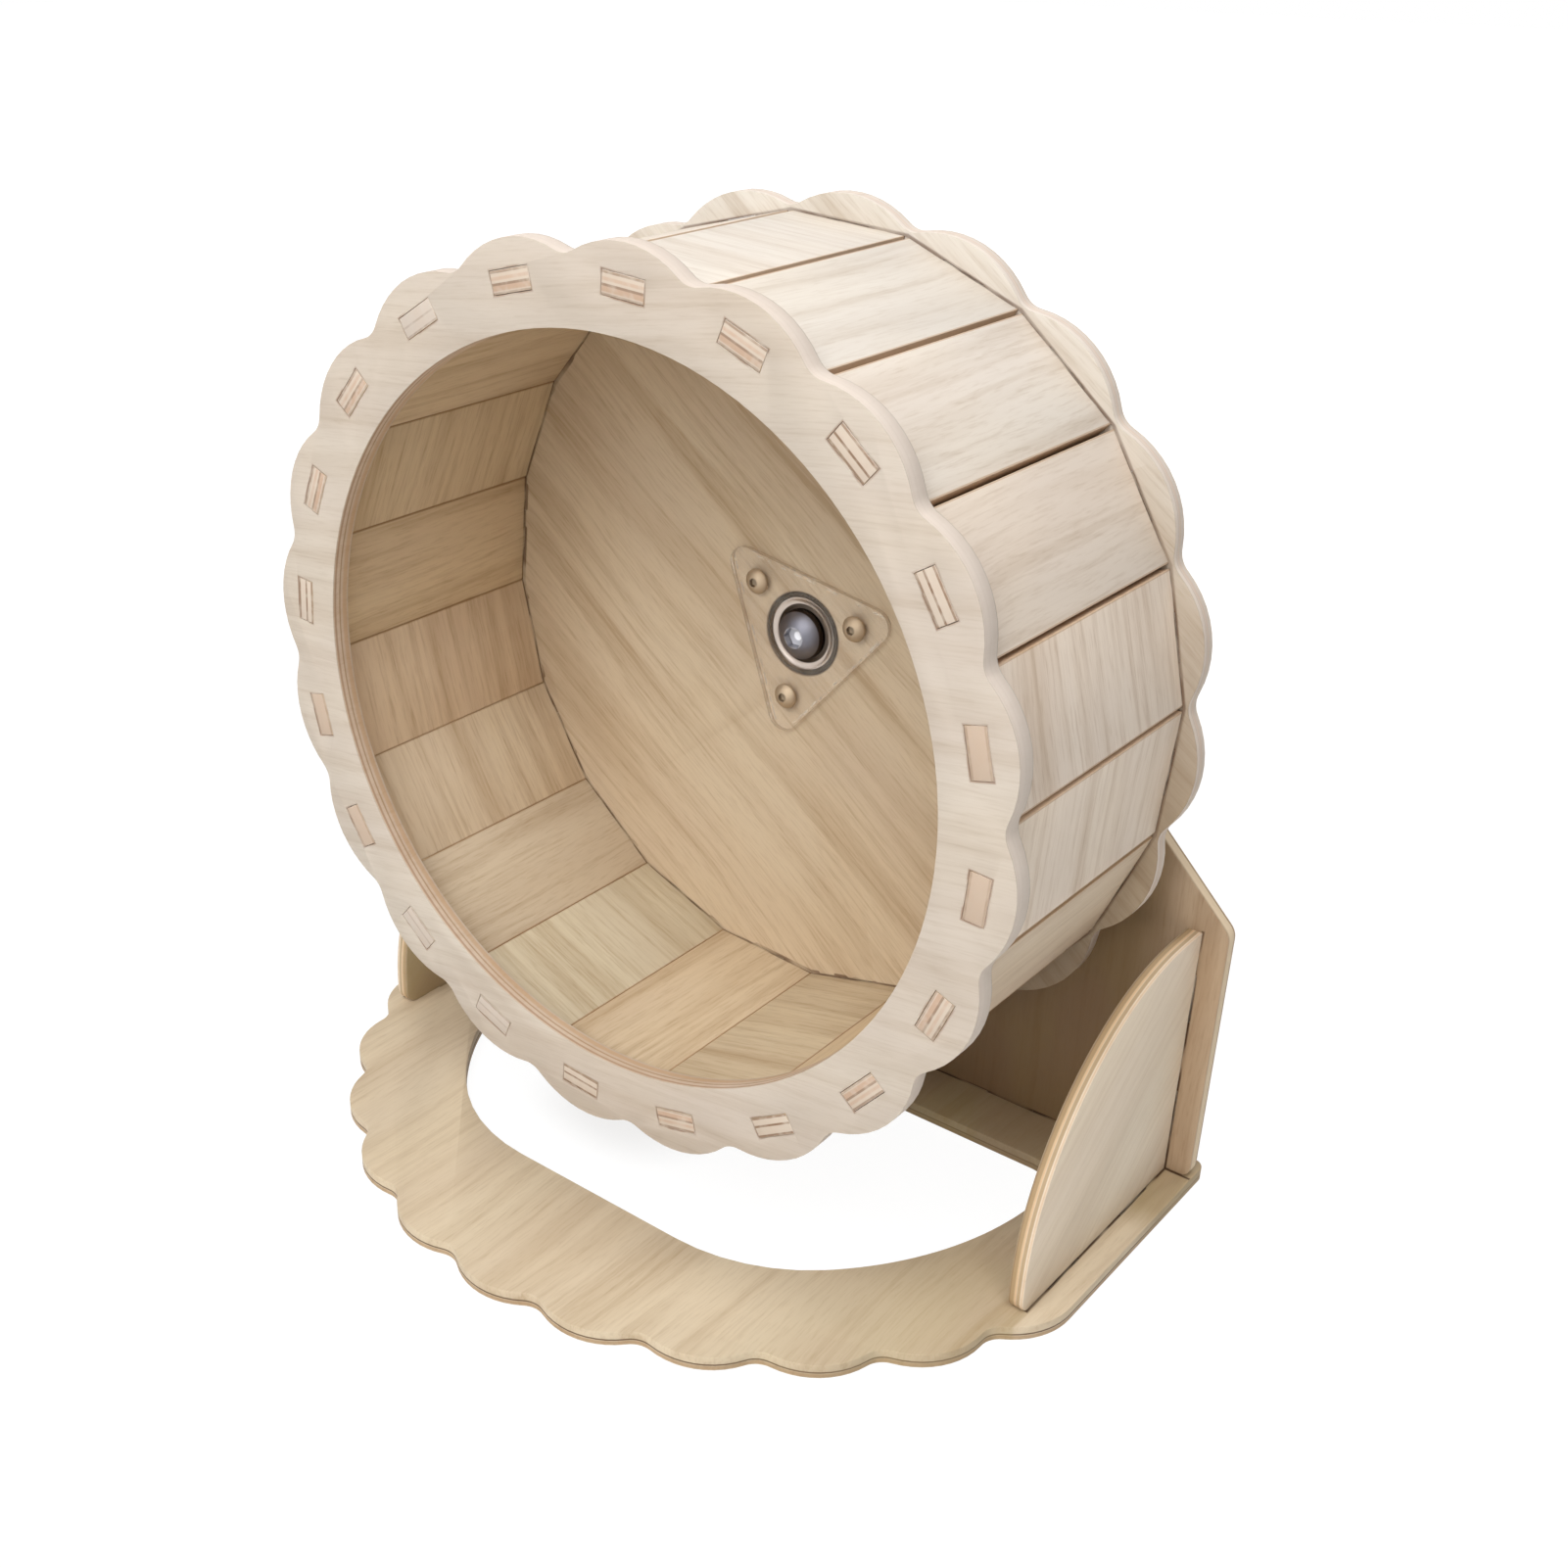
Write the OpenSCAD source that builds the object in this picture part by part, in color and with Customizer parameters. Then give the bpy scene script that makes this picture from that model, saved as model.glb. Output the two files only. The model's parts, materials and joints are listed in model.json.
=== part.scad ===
// Wooden exercise wheel for a small rodent, on a plywood stand.
// Millimetres. +X is the viewer's right, +Y points to the back and +Z points up.
// The origin is at the middle of the whole object's footprint, on the underside of the base.
// Angles about the axle are measured from the top towards +X.

/* [Wheel] */
// Number of slats round the wheel, with one lobe of each end plate to a slat
slat_count = 20; // [16:1:26]
// Radius from the axle to the inner faces of the slats
drum_r = 97; // [80:1:130]
// Length of the drum between its two end plates
drum_len = 73.4; // [50:0.2:110]
// Thickness of a slat
slat_t = 5; // [3:0.5:8]
// Gap between neighbouring slats, measured inside the drum
slat_gap = 0.3; // [0.1:0.1:1]
// Width of the tab at each end of a slat
tab_w = 11.2; // [8:0.2:14]
// Thickness of the front ring
ring_t = 5; // [3:0.5:8]
// Width of the lip that the front ring leaves inside the slats
ring_lip = 7.7; // [3:0.1:20]
// Thickness of the back disc
disc_t = 4; // [3:0.5:6]
// How far the tips of the lobes stand beyond the slats' outer corners
lobe_rise = 5; // [4:0.5:8]
// Radius of a lobe
lobe_r = 25; // [22:1:30]
// Radius of the dip between two lobes
dip_r = 6; // [4:0.5:8]
// Turn of the wheel at rest
wheel_turn = -13.8; // [-180:0.2:180]

/* [Hub] */
// Thickness of the clear plate in front of the back disc
hub_plate_t = 1.6; // [1:0.1:5]
// Thickness of the clear plate behind the back disc
hub_back_t = 3; // [1:0.1:5]
// Distance from the centre of a hub plate to each of its three sides
hub_plate_side = 16.2; // [15:0.1:22]
// Corner radius of the hub plates
hub_plate_corner = 4.5; // [2:0.1:6]
// Turn of the hub plates against the first slat
hub_plate_turn = -36; // [-60:1:60]
// Lip of the front hub plate over the bearing's outer race
hub_lip = 1.9; // [1.6:0.1:2.5]
// Radius of the circle of hub screws
hub_screw_circle = 17.7; // [16:0.1:21]
// Diameter of a hub screw
hub_screw_d = 2.9; // [2:0.1:3.9]
// Diameter of a hub screw's head
hub_head_d = 6.6; // [5:0.1:7]
// Height of a hub screw's head
hub_head_h = 2; // [1.4:0.1:3]
// Height of the straight rim below the dome of a hub screw's head
hub_rim_h = 0.4; // [0.2:0.1:0.8]
// Width across the flats of a hub screw's recess
hub_socket = 2; // [1.5:0.1:2.5]
// Depth of a hub screw's recess
hub_socket_h = 1.2; // [0.6:0.1:1.6]
// Width across the flats of a hub nut
hub_nut_w = 5.5; // [5:0.1:7]
// Thickness of a hub nut
hub_nut_t = 2.4; // [1.6:0.1:3]
// Length of a hub screw beyond its nut
hub_screw_tail = 1; // [0:0.1:3]

/* [Bearing] */
// Outer diameter of the bearing
bearing_d = 22; // [21:0.5:24]
// Bore of the bearing
bearing_bore = 8; // [7:0.5:8.5]
// Width of the bearing
bearing_w = 7; // [6.5:0.5:9]
// Number of balls
ball_count = 7; // [5:1:8]
// Diameter of a ball
ball_d = 3.96; // [3.4:0.02:4.2]
// Wall of each race between its rim and its shoulder
race_wall = 2.05; // [1.8:0.05:2.2]
// Depth of the shield's seat in the shoulder of the outer race
shield_seat = 0.65; // [0.4:0.05:0.8]
// Thickness of a shield
shield_t = 0.4; // [0.2:0.05:0.5]
// Depth of a shield behind the bearing's face
shield_set = 0.4; // [0.3:0.05:0.5]
// Thickness of the ball cage, along the radius
cage_t = 1.2; // [0.8:0.1:1.5]

/* [Axle] */
// Distance from the back disc to the upright
axle_gap = 19.9; // [12:0.1:30]
// Diameter of the bolt's head
bolt_head_d = 13.5; // [12.2:0.1:14]
// Height of the bolt's head
bolt_head_h = 4.4; // [3.5:0.1:6]
// Height of the straight rim below the head's dome
bolt_rim_h = 0.8; // [0.4:0.1:1.5]
// Width across the flats of the bolt's recess
bolt_socket = 5; // [4:0.5:6]
// Depth of the bolt's recess
bolt_socket_h = 2.6; // [1:0.1:3]
// Length of the bolt beyond its nut
bolt_tail = 4; // [0.5:0.1:8]
// Outer diameter of the sleeve on the bolt
spacer_d = 12; // [10:0.1:12]
// Diameter of the washer behind the upright
washer_d = 16; // [14:0.5:24]
// Thickness of the washer
washer_t = 1.6; // [1:0.1:2.5]
// Width across the flats of the axle nut
nut_w = 13; // [12:0.5:14]
// Thickness of the axle nut
nut_t = 6.5; // [4:0.1:8]

/* [Base] */
// Thickness of the base plate
base_t = 4; // [3:0.5:8]
// Height of the lobes' tips of the wheel above the base plate
wheel_clear = 21.6; // [10:0.1:40]
// Width of the base plate beyond the wheel, on each side
base_margin = 5.3; // [3:0.1:20]
// How far the base plate reaches in front of the wheel
base_nose = 45.6; // [30:0.2:70]
// How far the base plate reaches behind the upright
base_tail = 5; // [2:0.5:20]
// Lobes of the base plate's rim on each side of the front one
base_lobes = 5; // [4:1:6]
// Angle from one lobe of the rim to the next
base_lobe_pitch = 13.85; // [12:0.05:15]
// Radius of a lobe of the rim
base_lobe_r = 19; // [17:0.5:24]
// Width of the rim round the opening
base_rim = 32.4; // [26:0.1:45]
// Depth of the piece that the opening's straight front edge takes off its circle
opening_flat = 10.8; // [3:0.1:30]
// Depth of the strip between the opening and the upright
opening_strip = 18; // [8:0.5:40]
// Radius of the opening's rear corners
opening_corner = 10; // [3:0.5:20]
// Radius where the opening's front edge runs into its sides
opening_bend = 50; // [5:1:60]

/* [Upright and brackets] */
// Thickness of the upright
upright_t = 4; // [3:0.5:8]
// How far the upright stands inside the edge of the base plate
upright_inset = 0.6; // [0:0.1:5]
// Height of the upright's straight sides
upright_side_h = 73; // [62:0.2:95]
// How far the upright reaches above the axle
upright_rise = 28; // [14:0.5:36]
// Corner radius of the upright
upright_corner = 5; // [1:0.5:10]
// Thickness of the brackets
bracket_t = 4; // [3:0.5:8]
// Distance of a bracket's outer face from the edge of the base plate
bracket_inset = 7.3; // [3:0.1:9]
// How far the brackets' tops lie below the corners of the upright's sides
bracket_drop = 1.3; // [0:0.1:20]
// Length of the brackets, forward from the upright
bracket_len = 74; // [60:0.1:78]
// Length of the flat top of a bracket
bracket_flat = 9.8; // [2:0.1:20]
// Height of the straight front of a bracket
bracket_front = 7.4; // [5:0.1:20]
// Corner radius at the tip of a bracket
bracket_tip = 4; // [1:0.5:4.5]
// Distance from the corner of base and upright to the middle of a bracket's nearest tabs
tab_corner = 17.5; // [10:0.5:19]
// Distance from the front of a bracket to the middle of its front tab
tab_front = 20.5; // [12:0.1:26]
// Distance from the top of a bracket to the middle of its upper tab
tab_top = 19.4; // [12:0.1:24]
// Distance between the tabs along the foot of the upright
tab_step = 60; // [25:1:70]
// Width of the tabs that join the stand's pieces
joint_w = 14; // [8:0.5:16]
// Clearance on each side of a tab in its slot
joint_gap = 0.15; // [0.05:0.05:0.3]
// Corner radius of the stand's plates where they are only eased
ease_r = 3; // [1:0.5:5]

/* [Hidden] */
$fn = 64;

// Clearances between the metal pieces
seat_gap = 0.05;
ball_gap = 0.08;
shield_gap = 0.2;
cage_gap = 0.15;
screw_gap = 0.1;
// Amount that a cutter reaches past the face that it cuts
over = 1;
// Points along a lobe, a dip, an eased corner and a long curve
lobe_steps = 10;
dip_steps = 7;
ease_steps = 6;
curve_steps = 24;

// Sizes of the wheel
slat_pitch = 360 / slat_count;
slat_mid_r = drum_r + slat_t / 2;
slat_w = 2 * drum_r * tan(slat_pitch / 2) - slat_gap;
corner_r = (drum_r + slat_t) / cos(slat_pitch / 2);
tip_r = corner_r + lobe_rise;
ring_hole_r = drum_r - ring_lip;
slat_angles = [for (k = [0 : slat_count - 1]) wheel_turn + k * slat_pitch];
hub_angles = [for (k = [0 : 2]) wheel_turn + hub_plate_turn + 120 * k];

// Places along the axle, from the front face of the ring to the end of the bolt
behind_upright = washer_t + nut_t + bolt_tail;
depth = ring_t + drum_len + disc_t + axle_gap + upright_t + max(base_tail, behind_upright);
ring_y = (base_nose - depth) / 2;
slat_y = ring_y + ring_t;
disc_y = slat_y + drum_len;
disc_back = disc_y + disc_t;
bearing_y = disc_y;
bearing_back = bearing_y + bearing_w;
hub_y = disc_y - hub_plate_t;
upright_y = disc_back + axle_gap;
upright_back = upright_y + upright_t;
base_back = upright_back + base_tail;
base_front = ring_y - base_nose;

// Places of the stand
base_half = tip_r + base_margin;
axle_h = tip_r + wheel_clear;
axle_z = base_t + axle_h;
// The last lobe of the rim touches the side of the base plate, and the side runs straight from there
last_lobe = base_lobes * base_lobe_pitch;
lobe_circle_r = (base_half - base_lobe_r) / sin(last_lobe);
rim_r = lobe_circle_r + base_lobe_r;
rim_y = base_front + rim_r;
opening_r = rim_r - base_rim;
opening_y0 = rim_y - opening_r + opening_flat;
opening_y1 = upright_y - opening_strip;
upright_half = base_half - upright_inset;
upright_h = axle_h + upright_rise;
bracket_x = base_half - bracket_inset - bracket_t;
bracket_h = upright_side_h - bracket_drop;
// Middles of the tabs: forward from the upright, up from the base, and across the upright
base_tab_at = [tab_corner, bracket_len - tab_front];
rise_tab_at = [tab_corner, bracket_h - tab_top];
cross_tab_at = [-tab_step, 0, tab_step];

// Sizes of the bearing and the axle
bolt_d = bearing_bore - 2 * seat_gap;
ball_r = ball_d / 2;
pitch_r = (bearing_d + bearing_bore) / 4;
inner_race_r = bearing_bore / 2 + race_wall;
outer_race_r = bearing_d / 2 - race_wall;
shield_r = outer_race_r + shield_seat;
shield_in = bearing_w / 2 - shield_set - shield_t;
cage_half_w = shield_in - cage_gap;
bolt_len = upright_back + behind_upright - bearing_y;
spacer_len = upright_y - bearing_back;
hub_screw_len = hub_plate_t + disc_t + hub_back_t + hub_nut_t + hub_screw_tail;

// Colours
pale_ply = "#e3d3bb";
drum_ply = "#dcc7a6";
stand_ply = "#cdb48f";
clear = [0.86, 0.88, 0.86, 0.35];
steel = "#a9abad";
dark_steel = "#55534f";

function slat_name(k) = str("slat_", k < 9 ? "0" : "", k + 1);

// Direction at an angle from the top towards +X
function dir(a) = [sin(a), cos(a)];

// Points of an arc, from angle a0 to angle a1
function arc(centre, r, a0, a1, steps) =
    [for (i = [0 : steps]) centre + r * dir(a0 + (a1 - a0) * i / steps)];

// A path and its mirror image in the Y axis, as one closed path
function mirrored(path) =
    concat(path, [for (i = [len(path) - 1 : -1 : 0]) [-path[i].x, path[i].y]]);

// Rim of lobes at the given angles, one pitch apart, with a dip after each lobe. The tips lie on a
// circle of the radius tip, and the first and last lobe start and end at the angles from and to.
function lobed_rim(angles, pitch, tip, lobe, dip, from = -1000, to = 1000) =
    let (half = pitch / 2)
    let (lobe_c = tip - lobe)
    let (dip_c = lobe_c * cos(half) + sqrt(pow(lobe + dip, 2) - pow(lobe_c * sin(half), 2)))
    let (swing = atan2(dip_c * sin(half), dip_c * cos(half) - lobe_c))
    [for (a = angles) each concat(
        arc(lobe_c * dir(a), lobe, max(a - swing, from), min(a + swing, to), lobe_steps),
        [for (i = [1 : dip_steps - 1])
            dip_c * dir(a + half)
            + dip * dir(a + 180 + swing + 2 * (half - swing) * i / dip_steps)])];

// Angle of a vector, measured as for dir()
function angle_of(v) = atan2(v.x, v.y);

// An angle brought between -180 and 180
function wrapped(a) = a - 360 * round(a / 360);

// Arc that eases the corner p between the points a and b
function eased_corner(a, p, b, r) =
    let (u = (a - p) / norm(a - p))
    let (v = (b - p) / norm(b - p))
    let (half = acos(u * v) / 2)
    let (centre = p + (u + v) / norm(u + v) * r / sin(half))
    let (start = p + u * r / tan(half) - centre)
    let (end = p + v * r / tan(half) - centre)
    let (turn = wrapped(angle_of(end) - angle_of(start)))
    arc(centre, r, angle_of(start), angle_of(start) + turn, ease_steps);

// Closed path through corners, each given as [x, y, radius]
function eased(corners) =
    let (n = len(corners))
    [for (i = [0 : n - 1])
        let (a = corners[(i + n - 1) % n])
        let (p = corners[i])
        let (b = corners[(i + 1) % n])
        each eased_corner([a.x, a.y], [p.x, p.y], [b.x, b.y], p.z)];

// A flat shape in X and Z, made a plate of thickness t whose front face is at y
module standing_plate(y, t)
{
    translate([0, y + t, 0])
        rotate([90, 0, 0])
            linear_extrude(t)
                children();
}

// A flat shape in Y and Z, made a plate of thickness t from x towards +X
module side_plate(x, t)
{
    translate([x, 0, 0])
        rotate([90, 0, 90])
            linear_extrude(t)
                children();
}

// A rod along the axle's direction, from y to y + length
module rod(y, length, r)
{
    translate([0, y + length, 0])
        rotate([90, 0, 0])
            cylinder(h = length, r = r);
}

// A hexagonal rod along the axle's direction, with the given width across its flats
module hex_rod(y, length, w)
{
    translate([0, y + length, 0])
        rotate([90, 0, 0])
            cylinder(h = length, d = w / cos(30), $fn = 6);
}

// A profile of radius and depth, turned about the axle's direction round the point y
module turned(y)
{
    translate([0, y, 0])
        rotate([-90, 0, 0])
            rotate_extrude()
                children();
}

// Raises what is drawn round the axle to the axle's height
module on_axle()
{
    translate([0, 0, axle_z])
        children();
}

// Turns what stands above the axle about it, by an angle from the top towards +X
module turned_to(a)
{
    rotate([0, a, 0])
        children();
}

// Flat outline of an end plate of the drum, with its slots for the slats' tabs
module end_plate_shape()
{
    difference()
    {
        polygon(lobed_rim(slat_angles, slat_pitch, tip_r, lobe_r, dip_r));
        for (a = slat_angles)
            rotate(-a)
                translate([0, slat_mid_r])
                    square([tab_w + 2 * joint_gap, slat_t + 2 * joint_gap], center = true);
    }
}

// The hub screws' holes through a flat shape
module hub_screw_holes()
{
    for (a = hub_angles)
        rotate(-a)
            translate([0, hub_screw_circle])
                circle(d = hub_screw_d + 2 * screw_gap);
}

module front_ring()
{
    color(pale_ply)
        on_axle()
            standing_plate(ring_y, ring_t)
                difference()
                {
                    end_plate_shape();
                    circle(r = ring_hole_r);
                }
}

module back_disc()
{
    color(drum_ply)
        on_axle()
            standing_plate(disc_y, disc_t)
                difference()
                {
                    end_plate_shape();
                    circle(r = bearing_d / 2 + seat_gap);
                    hub_screw_holes();
                }
}

// Slat number k, with a tab through each end plate
module slat(k)
{
    color(drum_ply)
        on_axle()
            turned_to(slat_angles[k])
                translate([0, slat_y, drum_r])
                {
                    translate([-slat_w / 2, 0, 0])
                        cube([slat_w, drum_len, slat_t]);
                    translate([-tab_w / 2, -ring_t, 0])
                        cube([tab_w, ring_t + drum_len + disc_t, slat_t]);
                }
}

// Clear triangular plate with eased corners, a middle hole and the hub screws' holes
module clear_plate(y, t, hole_r)
{
    color(clear)
        on_axle()
            standing_plate(y, t)
                difference()
                {
                    polygon(eased([for (a = hub_angles)
                        [each 2 * hub_plate_side * dir(a), hub_plate_corner]]));
                    circle(r = hole_r);
                    hub_screw_holes();
                }
}

module hub_plate()
{
    clear_plate(hub_y, hub_plate_t, bearing_d / 2 - hub_lip);
}

module hub_back_plate()
{
    clear_plate(disc_back, hub_back_t, bearing_d / 2 + seat_gap);
}

// Round head with a straight rim, a dome and a hexagon recess. Its flat face is at y.
module domed_head(y, d, h, rim_h, socket_w, socket_h)
{
    dome_h = h - rim_h;
    dome_r = (pow(d / 2, 2) + pow(dome_h, 2)) / (2 * dome_h);
    difference()
    {
        union()
        {
            rod(y - rim_h, rim_h, d / 2);
            intersection()
            {
                translate([0, y - h + dome_r, 0])
                    rotate([90, 0, 0])
                        sphere(r = dome_r);
                rod(y - h, dome_h, d / 2);
            }
        }
        hex_rod(y - h - over, socket_h + over, socket_w);
    }
}

// Nut with a bore, its corners eased at both faces
module hex_nut(y, t, w, bore_r)
{
    ease = t / 8;
    corner = w / 2 / cos(30);
    difference()
    {
        intersection()
        {
            hex_rod(y, t, w);
            turned(y)
                polygon([[0, 0], [w / 2, 0], [corner + ease, ease * 1.4],
                         [corner + ease, t - ease * 1.4], [w / 2, t], [0, t]]);
        }
        rod(y - over, t + 2 * over, bore_r);
    }
}

module hub_screws()
{
    color(steel)
        on_axle()
            for (a = hub_angles)
                turned_to(a)
                    translate([0, 0, hub_screw_circle])
                    {
                        domed_head(hub_y, hub_head_d, hub_head_h, hub_rim_h,
                                   hub_socket, hub_socket_h);
                        rod(hub_y, hub_screw_len, hub_screw_d / 2);
                    }
}

module hub_nuts()
{
    color(steel)
        on_axle()
            for (a = hub_angles)
                turned_to(a)
                    translate([0, 0, hub_screw_circle])
                        hex_nut(disc_back + hub_back_t, hub_nut_t, hub_nut_w,
                                hub_screw_d / 2 + seat_gap);
}

// The balls' groove, in the profile of a race
module groove()
{
    translate([pitch_r, 0])
        circle(r = ball_r + ball_gap);
}

module bearing_outer_race()
{
    seat = shield_in;
    half_w = bearing_w / 2;
    rim = bearing_d / 2;
    color(steel)
        on_axle()
            turned(bearing_y + half_w)
                difference()
                {
                    polygon([[rim, -half_w], [rim, half_w], [shield_r, half_w], [shield_r, seat],
                             [outer_race_r, seat], [outer_race_r, -seat], [shield_r, -seat],
                             [shield_r, -half_w]]);
                    groove();
                }
}

module bearing_inner_race()
{
    color(steel)
        on_axle()
            turned(bearing_y + bearing_w / 2)
                difference()
                {
                    translate([bearing_bore / 2, -bearing_w / 2])
                        square([race_wall, bearing_w]);
                    groove();
                }
}

// Shield whose front face is at y
module shield(y)
{
    color(dark_steel)
        on_axle()
            difference()
            {
                rod(y, shield_t, shield_r - seat_gap);
                rod(y - over, shield_t + 2 * over, inner_race_r + shield_gap);
            }
}

module bearing_front_shield()
{
    shield(bearing_y + shield_set);
}

module bearing_rear_shield()
{
    shield(bearing_back - shield_set - shield_t);
}

// Places one copy at each ball
module at_balls()
{
    for (k = [0 : ball_count - 1])
        turned_to(k * 360 / ball_count)
            translate([0, bearing_y + bearing_w / 2, pitch_r])
                children();
}

module bearing_cage()
{
    color(steel)
        on_axle()
            difference()
            {
                turned(bearing_y + bearing_w / 2)
                    translate([pitch_r - cage_t / 2, -cage_half_w])
                        square([cage_t, 2 * cage_half_w]);
                at_balls()
                    sphere(r = ball_r + ball_gap);
            }
}

module bearing_balls()
{
    color(steel)
        on_axle()
            at_balls()
                sphere(r = ball_r);
}

module axle_bolt()
{
    color(steel)
        on_axle()
            union()
            {
                domed_head(bearing_y, bolt_head_d, bolt_head_h, bolt_rim_h,
                           bolt_socket, bolt_socket_h);
                rod(bearing_y, bolt_len, bolt_d / 2);
            }
}

module axle_spacer()
{
    color(steel)
        on_axle()
            difference()
            {
                rod(bearing_back, spacer_len, spacer_d / 2);
                rod(bearing_back - over, spacer_len + 2 * over, bolt_d / 2 + seat_gap);
            }
}

module axle_washer()
{
    color(steel)
        on_axle()
            difference()
            {
                rod(upright_back, washer_t, washer_d / 2);
                rod(upright_back - over, washer_t + 2 * over, bolt_d / 2 + screw_gap);
            }
}

module axle_nut()
{
    color(steel)
        on_axle()
            hex_nut(upright_back + washer_t, nut_t, nut_w, bolt_d / 2 + seat_gap);
}

// Right half of the opening's outline, from its front edge to its rear edge
function opening_half() =
    let (centre = [0, rim_y])
    let (bend_y = opening_y0 + opening_bend)
    let (bend_x = sqrt(pow(opening_r - opening_bend, 2) - pow(rim_y - bend_y, 2)))
    let (rear_y = opening_y1 - opening_corner)
    let (rear_x = sqrt(pow(opening_r - opening_corner, 2) - pow(rim_y - rear_y, 2)))
    let (bend_a = angle_of([bend_x, bend_y - rim_y]))
    let (rear_a = angle_of([rear_x, rear_y - rim_y]))
    concat(
        arc([bend_x, bend_y], opening_bend, 180, bend_a, ease_steps),
        arc(centre, opening_r, bend_a, rear_a, curve_steps),
        arc([rear_x, rear_y], opening_corner, rear_a, 0, ease_steps));

// Slots in the base plate for the tabs of the brackets and of the upright
module base_slots()
{
    for (side = [-1, 1], at = base_tab_at)
        translate([side * (bracket_x + bracket_t / 2), upright_y - at])
            square([bracket_t + 2 * joint_gap, joint_w + 2 * joint_gap], center = true);
    for (at = cross_tab_at)
        translate([at, upright_y + upright_t / 2])
            square([joint_w + 2 * joint_gap, upright_t + 2 * joint_gap], center = true);
}

// Outline of the base plate: a lobed rim round the front, then straight sides and a straight back
module base_outline()
{
    lobe_angles = [for (k = [-base_lobes : base_lobes]) 180 + k * base_lobe_pitch];
    rim = lobed_rim(lobe_angles, base_lobe_pitch, rim_r, base_lobe_r, dip_r, 90, 270);
    side = [base_half, rim_y];
    rear = [base_half, base_back];
    // The dip after the last lobe is left out
    polygon(concat([for (i = [0 : len(rim) - dip_steps]) [0, rim_y] + rim[i]],
                   eased_corner([-side.x, side.y], [-rear.x, rear.y], rear, ease_r),
                   eased_corner([-rear.x, rear.y], rear, side, ease_r)));
}

module base_plate()
{
    color(stand_ply)
        linear_extrude(base_t)
            difference()
            {
                base_outline();
                polygon(mirrored(opening_half()));
                base_slots();
            }
}

// Outline of the upright above the base plate, with its upper corners cut at 45 degrees
module upright_outline()
{
    top_half = upright_half - (upright_h - upright_side_h);
    polygon(eased([[upright_half, 0, ease_r], [upright_half, upright_side_h, upright_corner],
                   [top_half, upright_h, upright_corner], [-top_half, upright_h, upright_corner],
                   [-upright_half, upright_side_h, upright_corner], [-upright_half, 0, ease_r]]));
}

module upright()
{
    color(stand_ply)
        standing_plate(upright_y, upright_t)
            translate([0, base_t])
                difference()
                {
                    union()
                    {
                        upright_outline();
                        for (at = cross_tab_at)
                            translate([at - joint_w / 2, -base_t])
                                square([joint_w, base_t + over]);
                    }
                    for (side = [-1, 1], at = rise_tab_at)
                        translate([side * (bracket_x + bracket_t / 2), at])
                            square([bracket_t + 2 * joint_gap, joint_w + 2 * joint_gap],
                                   center = true);
                    translate([0, axle_h])
                        circle(d = bolt_d + 2 * screw_gap);
                }
}

// Side view of a bracket: 0, 0 is the corner where it meets the base plate and the upright
module bracket_shape()
{
    curve_len = bracket_len - bracket_flat;
    curve_h = bracket_h - bracket_front;
    tip = eased_corner([-bracket_len, bracket_front], [-bracket_len, 0], [0, 0], bracket_tip);
    curve = [for (i = [0 : curve_steps])
        let (a = 90 * i / curve_steps)
        [-bracket_flat - curve_len * sin(a), bracket_front + curve_h * cos(a)]];
    polygon(concat([[0, 0], [0, bracket_h]], curve, tip));
    for (at = base_tab_at)
        translate([-at - joint_w / 2, -base_t])
            square([joint_w, base_t + over]);
    for (at = rise_tab_at)
        translate([-over, at - joint_w / 2])
            square([upright_t + over, joint_w]);
}

// Bracket that fills the space from x to x + bracket_t
module bracket(x)
{
    color(stand_ply)
        side_plate(x, bracket_t)
            translate([upright_y, base_t])
                bracket_shape();
}

module left_bracket()
{
    bracket(-bracket_x - bracket_t);
}

module right_bracket()
{
    bracket(bracket_x);
}

front_ring();
back_disc();
for (k = [0 : slat_count - 1])
    slat(k);
hub_plate();
hub_back_plate();
hub_screws();
hub_nuts();
bearing_outer_race();
bearing_inner_race();
bearing_front_shield();
bearing_rear_shield();
bearing_cage();
bearing_balls();
axle_bolt();
axle_spacer();
axle_washer();
axle_nut();
base_plate();
upright();
left_bracket();
right_bracket();
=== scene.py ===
import json
import math

import bmesh
import bpy
from bpy.props import FloatProperty, FloatVectorProperty, IntProperty, PointerProperty
from mathutils import Matrix, Vector


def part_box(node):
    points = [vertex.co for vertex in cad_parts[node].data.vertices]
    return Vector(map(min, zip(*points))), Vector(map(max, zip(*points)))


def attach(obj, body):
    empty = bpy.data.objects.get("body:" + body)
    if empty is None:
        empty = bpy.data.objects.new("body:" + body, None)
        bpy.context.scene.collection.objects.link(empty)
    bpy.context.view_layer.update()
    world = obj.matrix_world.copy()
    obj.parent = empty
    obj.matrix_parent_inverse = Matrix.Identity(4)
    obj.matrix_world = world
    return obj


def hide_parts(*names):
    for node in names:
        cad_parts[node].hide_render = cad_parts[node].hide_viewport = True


bl_info = {
    "name": "Rodent exercise wheel",
    "version": (1, 0, 0),
    "blender": (4, 5, 0),
    "location": "3D View > Sidebar > Exercise wheel",
    "description": "Dresses a slatted plywood exercise wheel and its stand in their finishes",
    "category": "Object",
}

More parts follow.
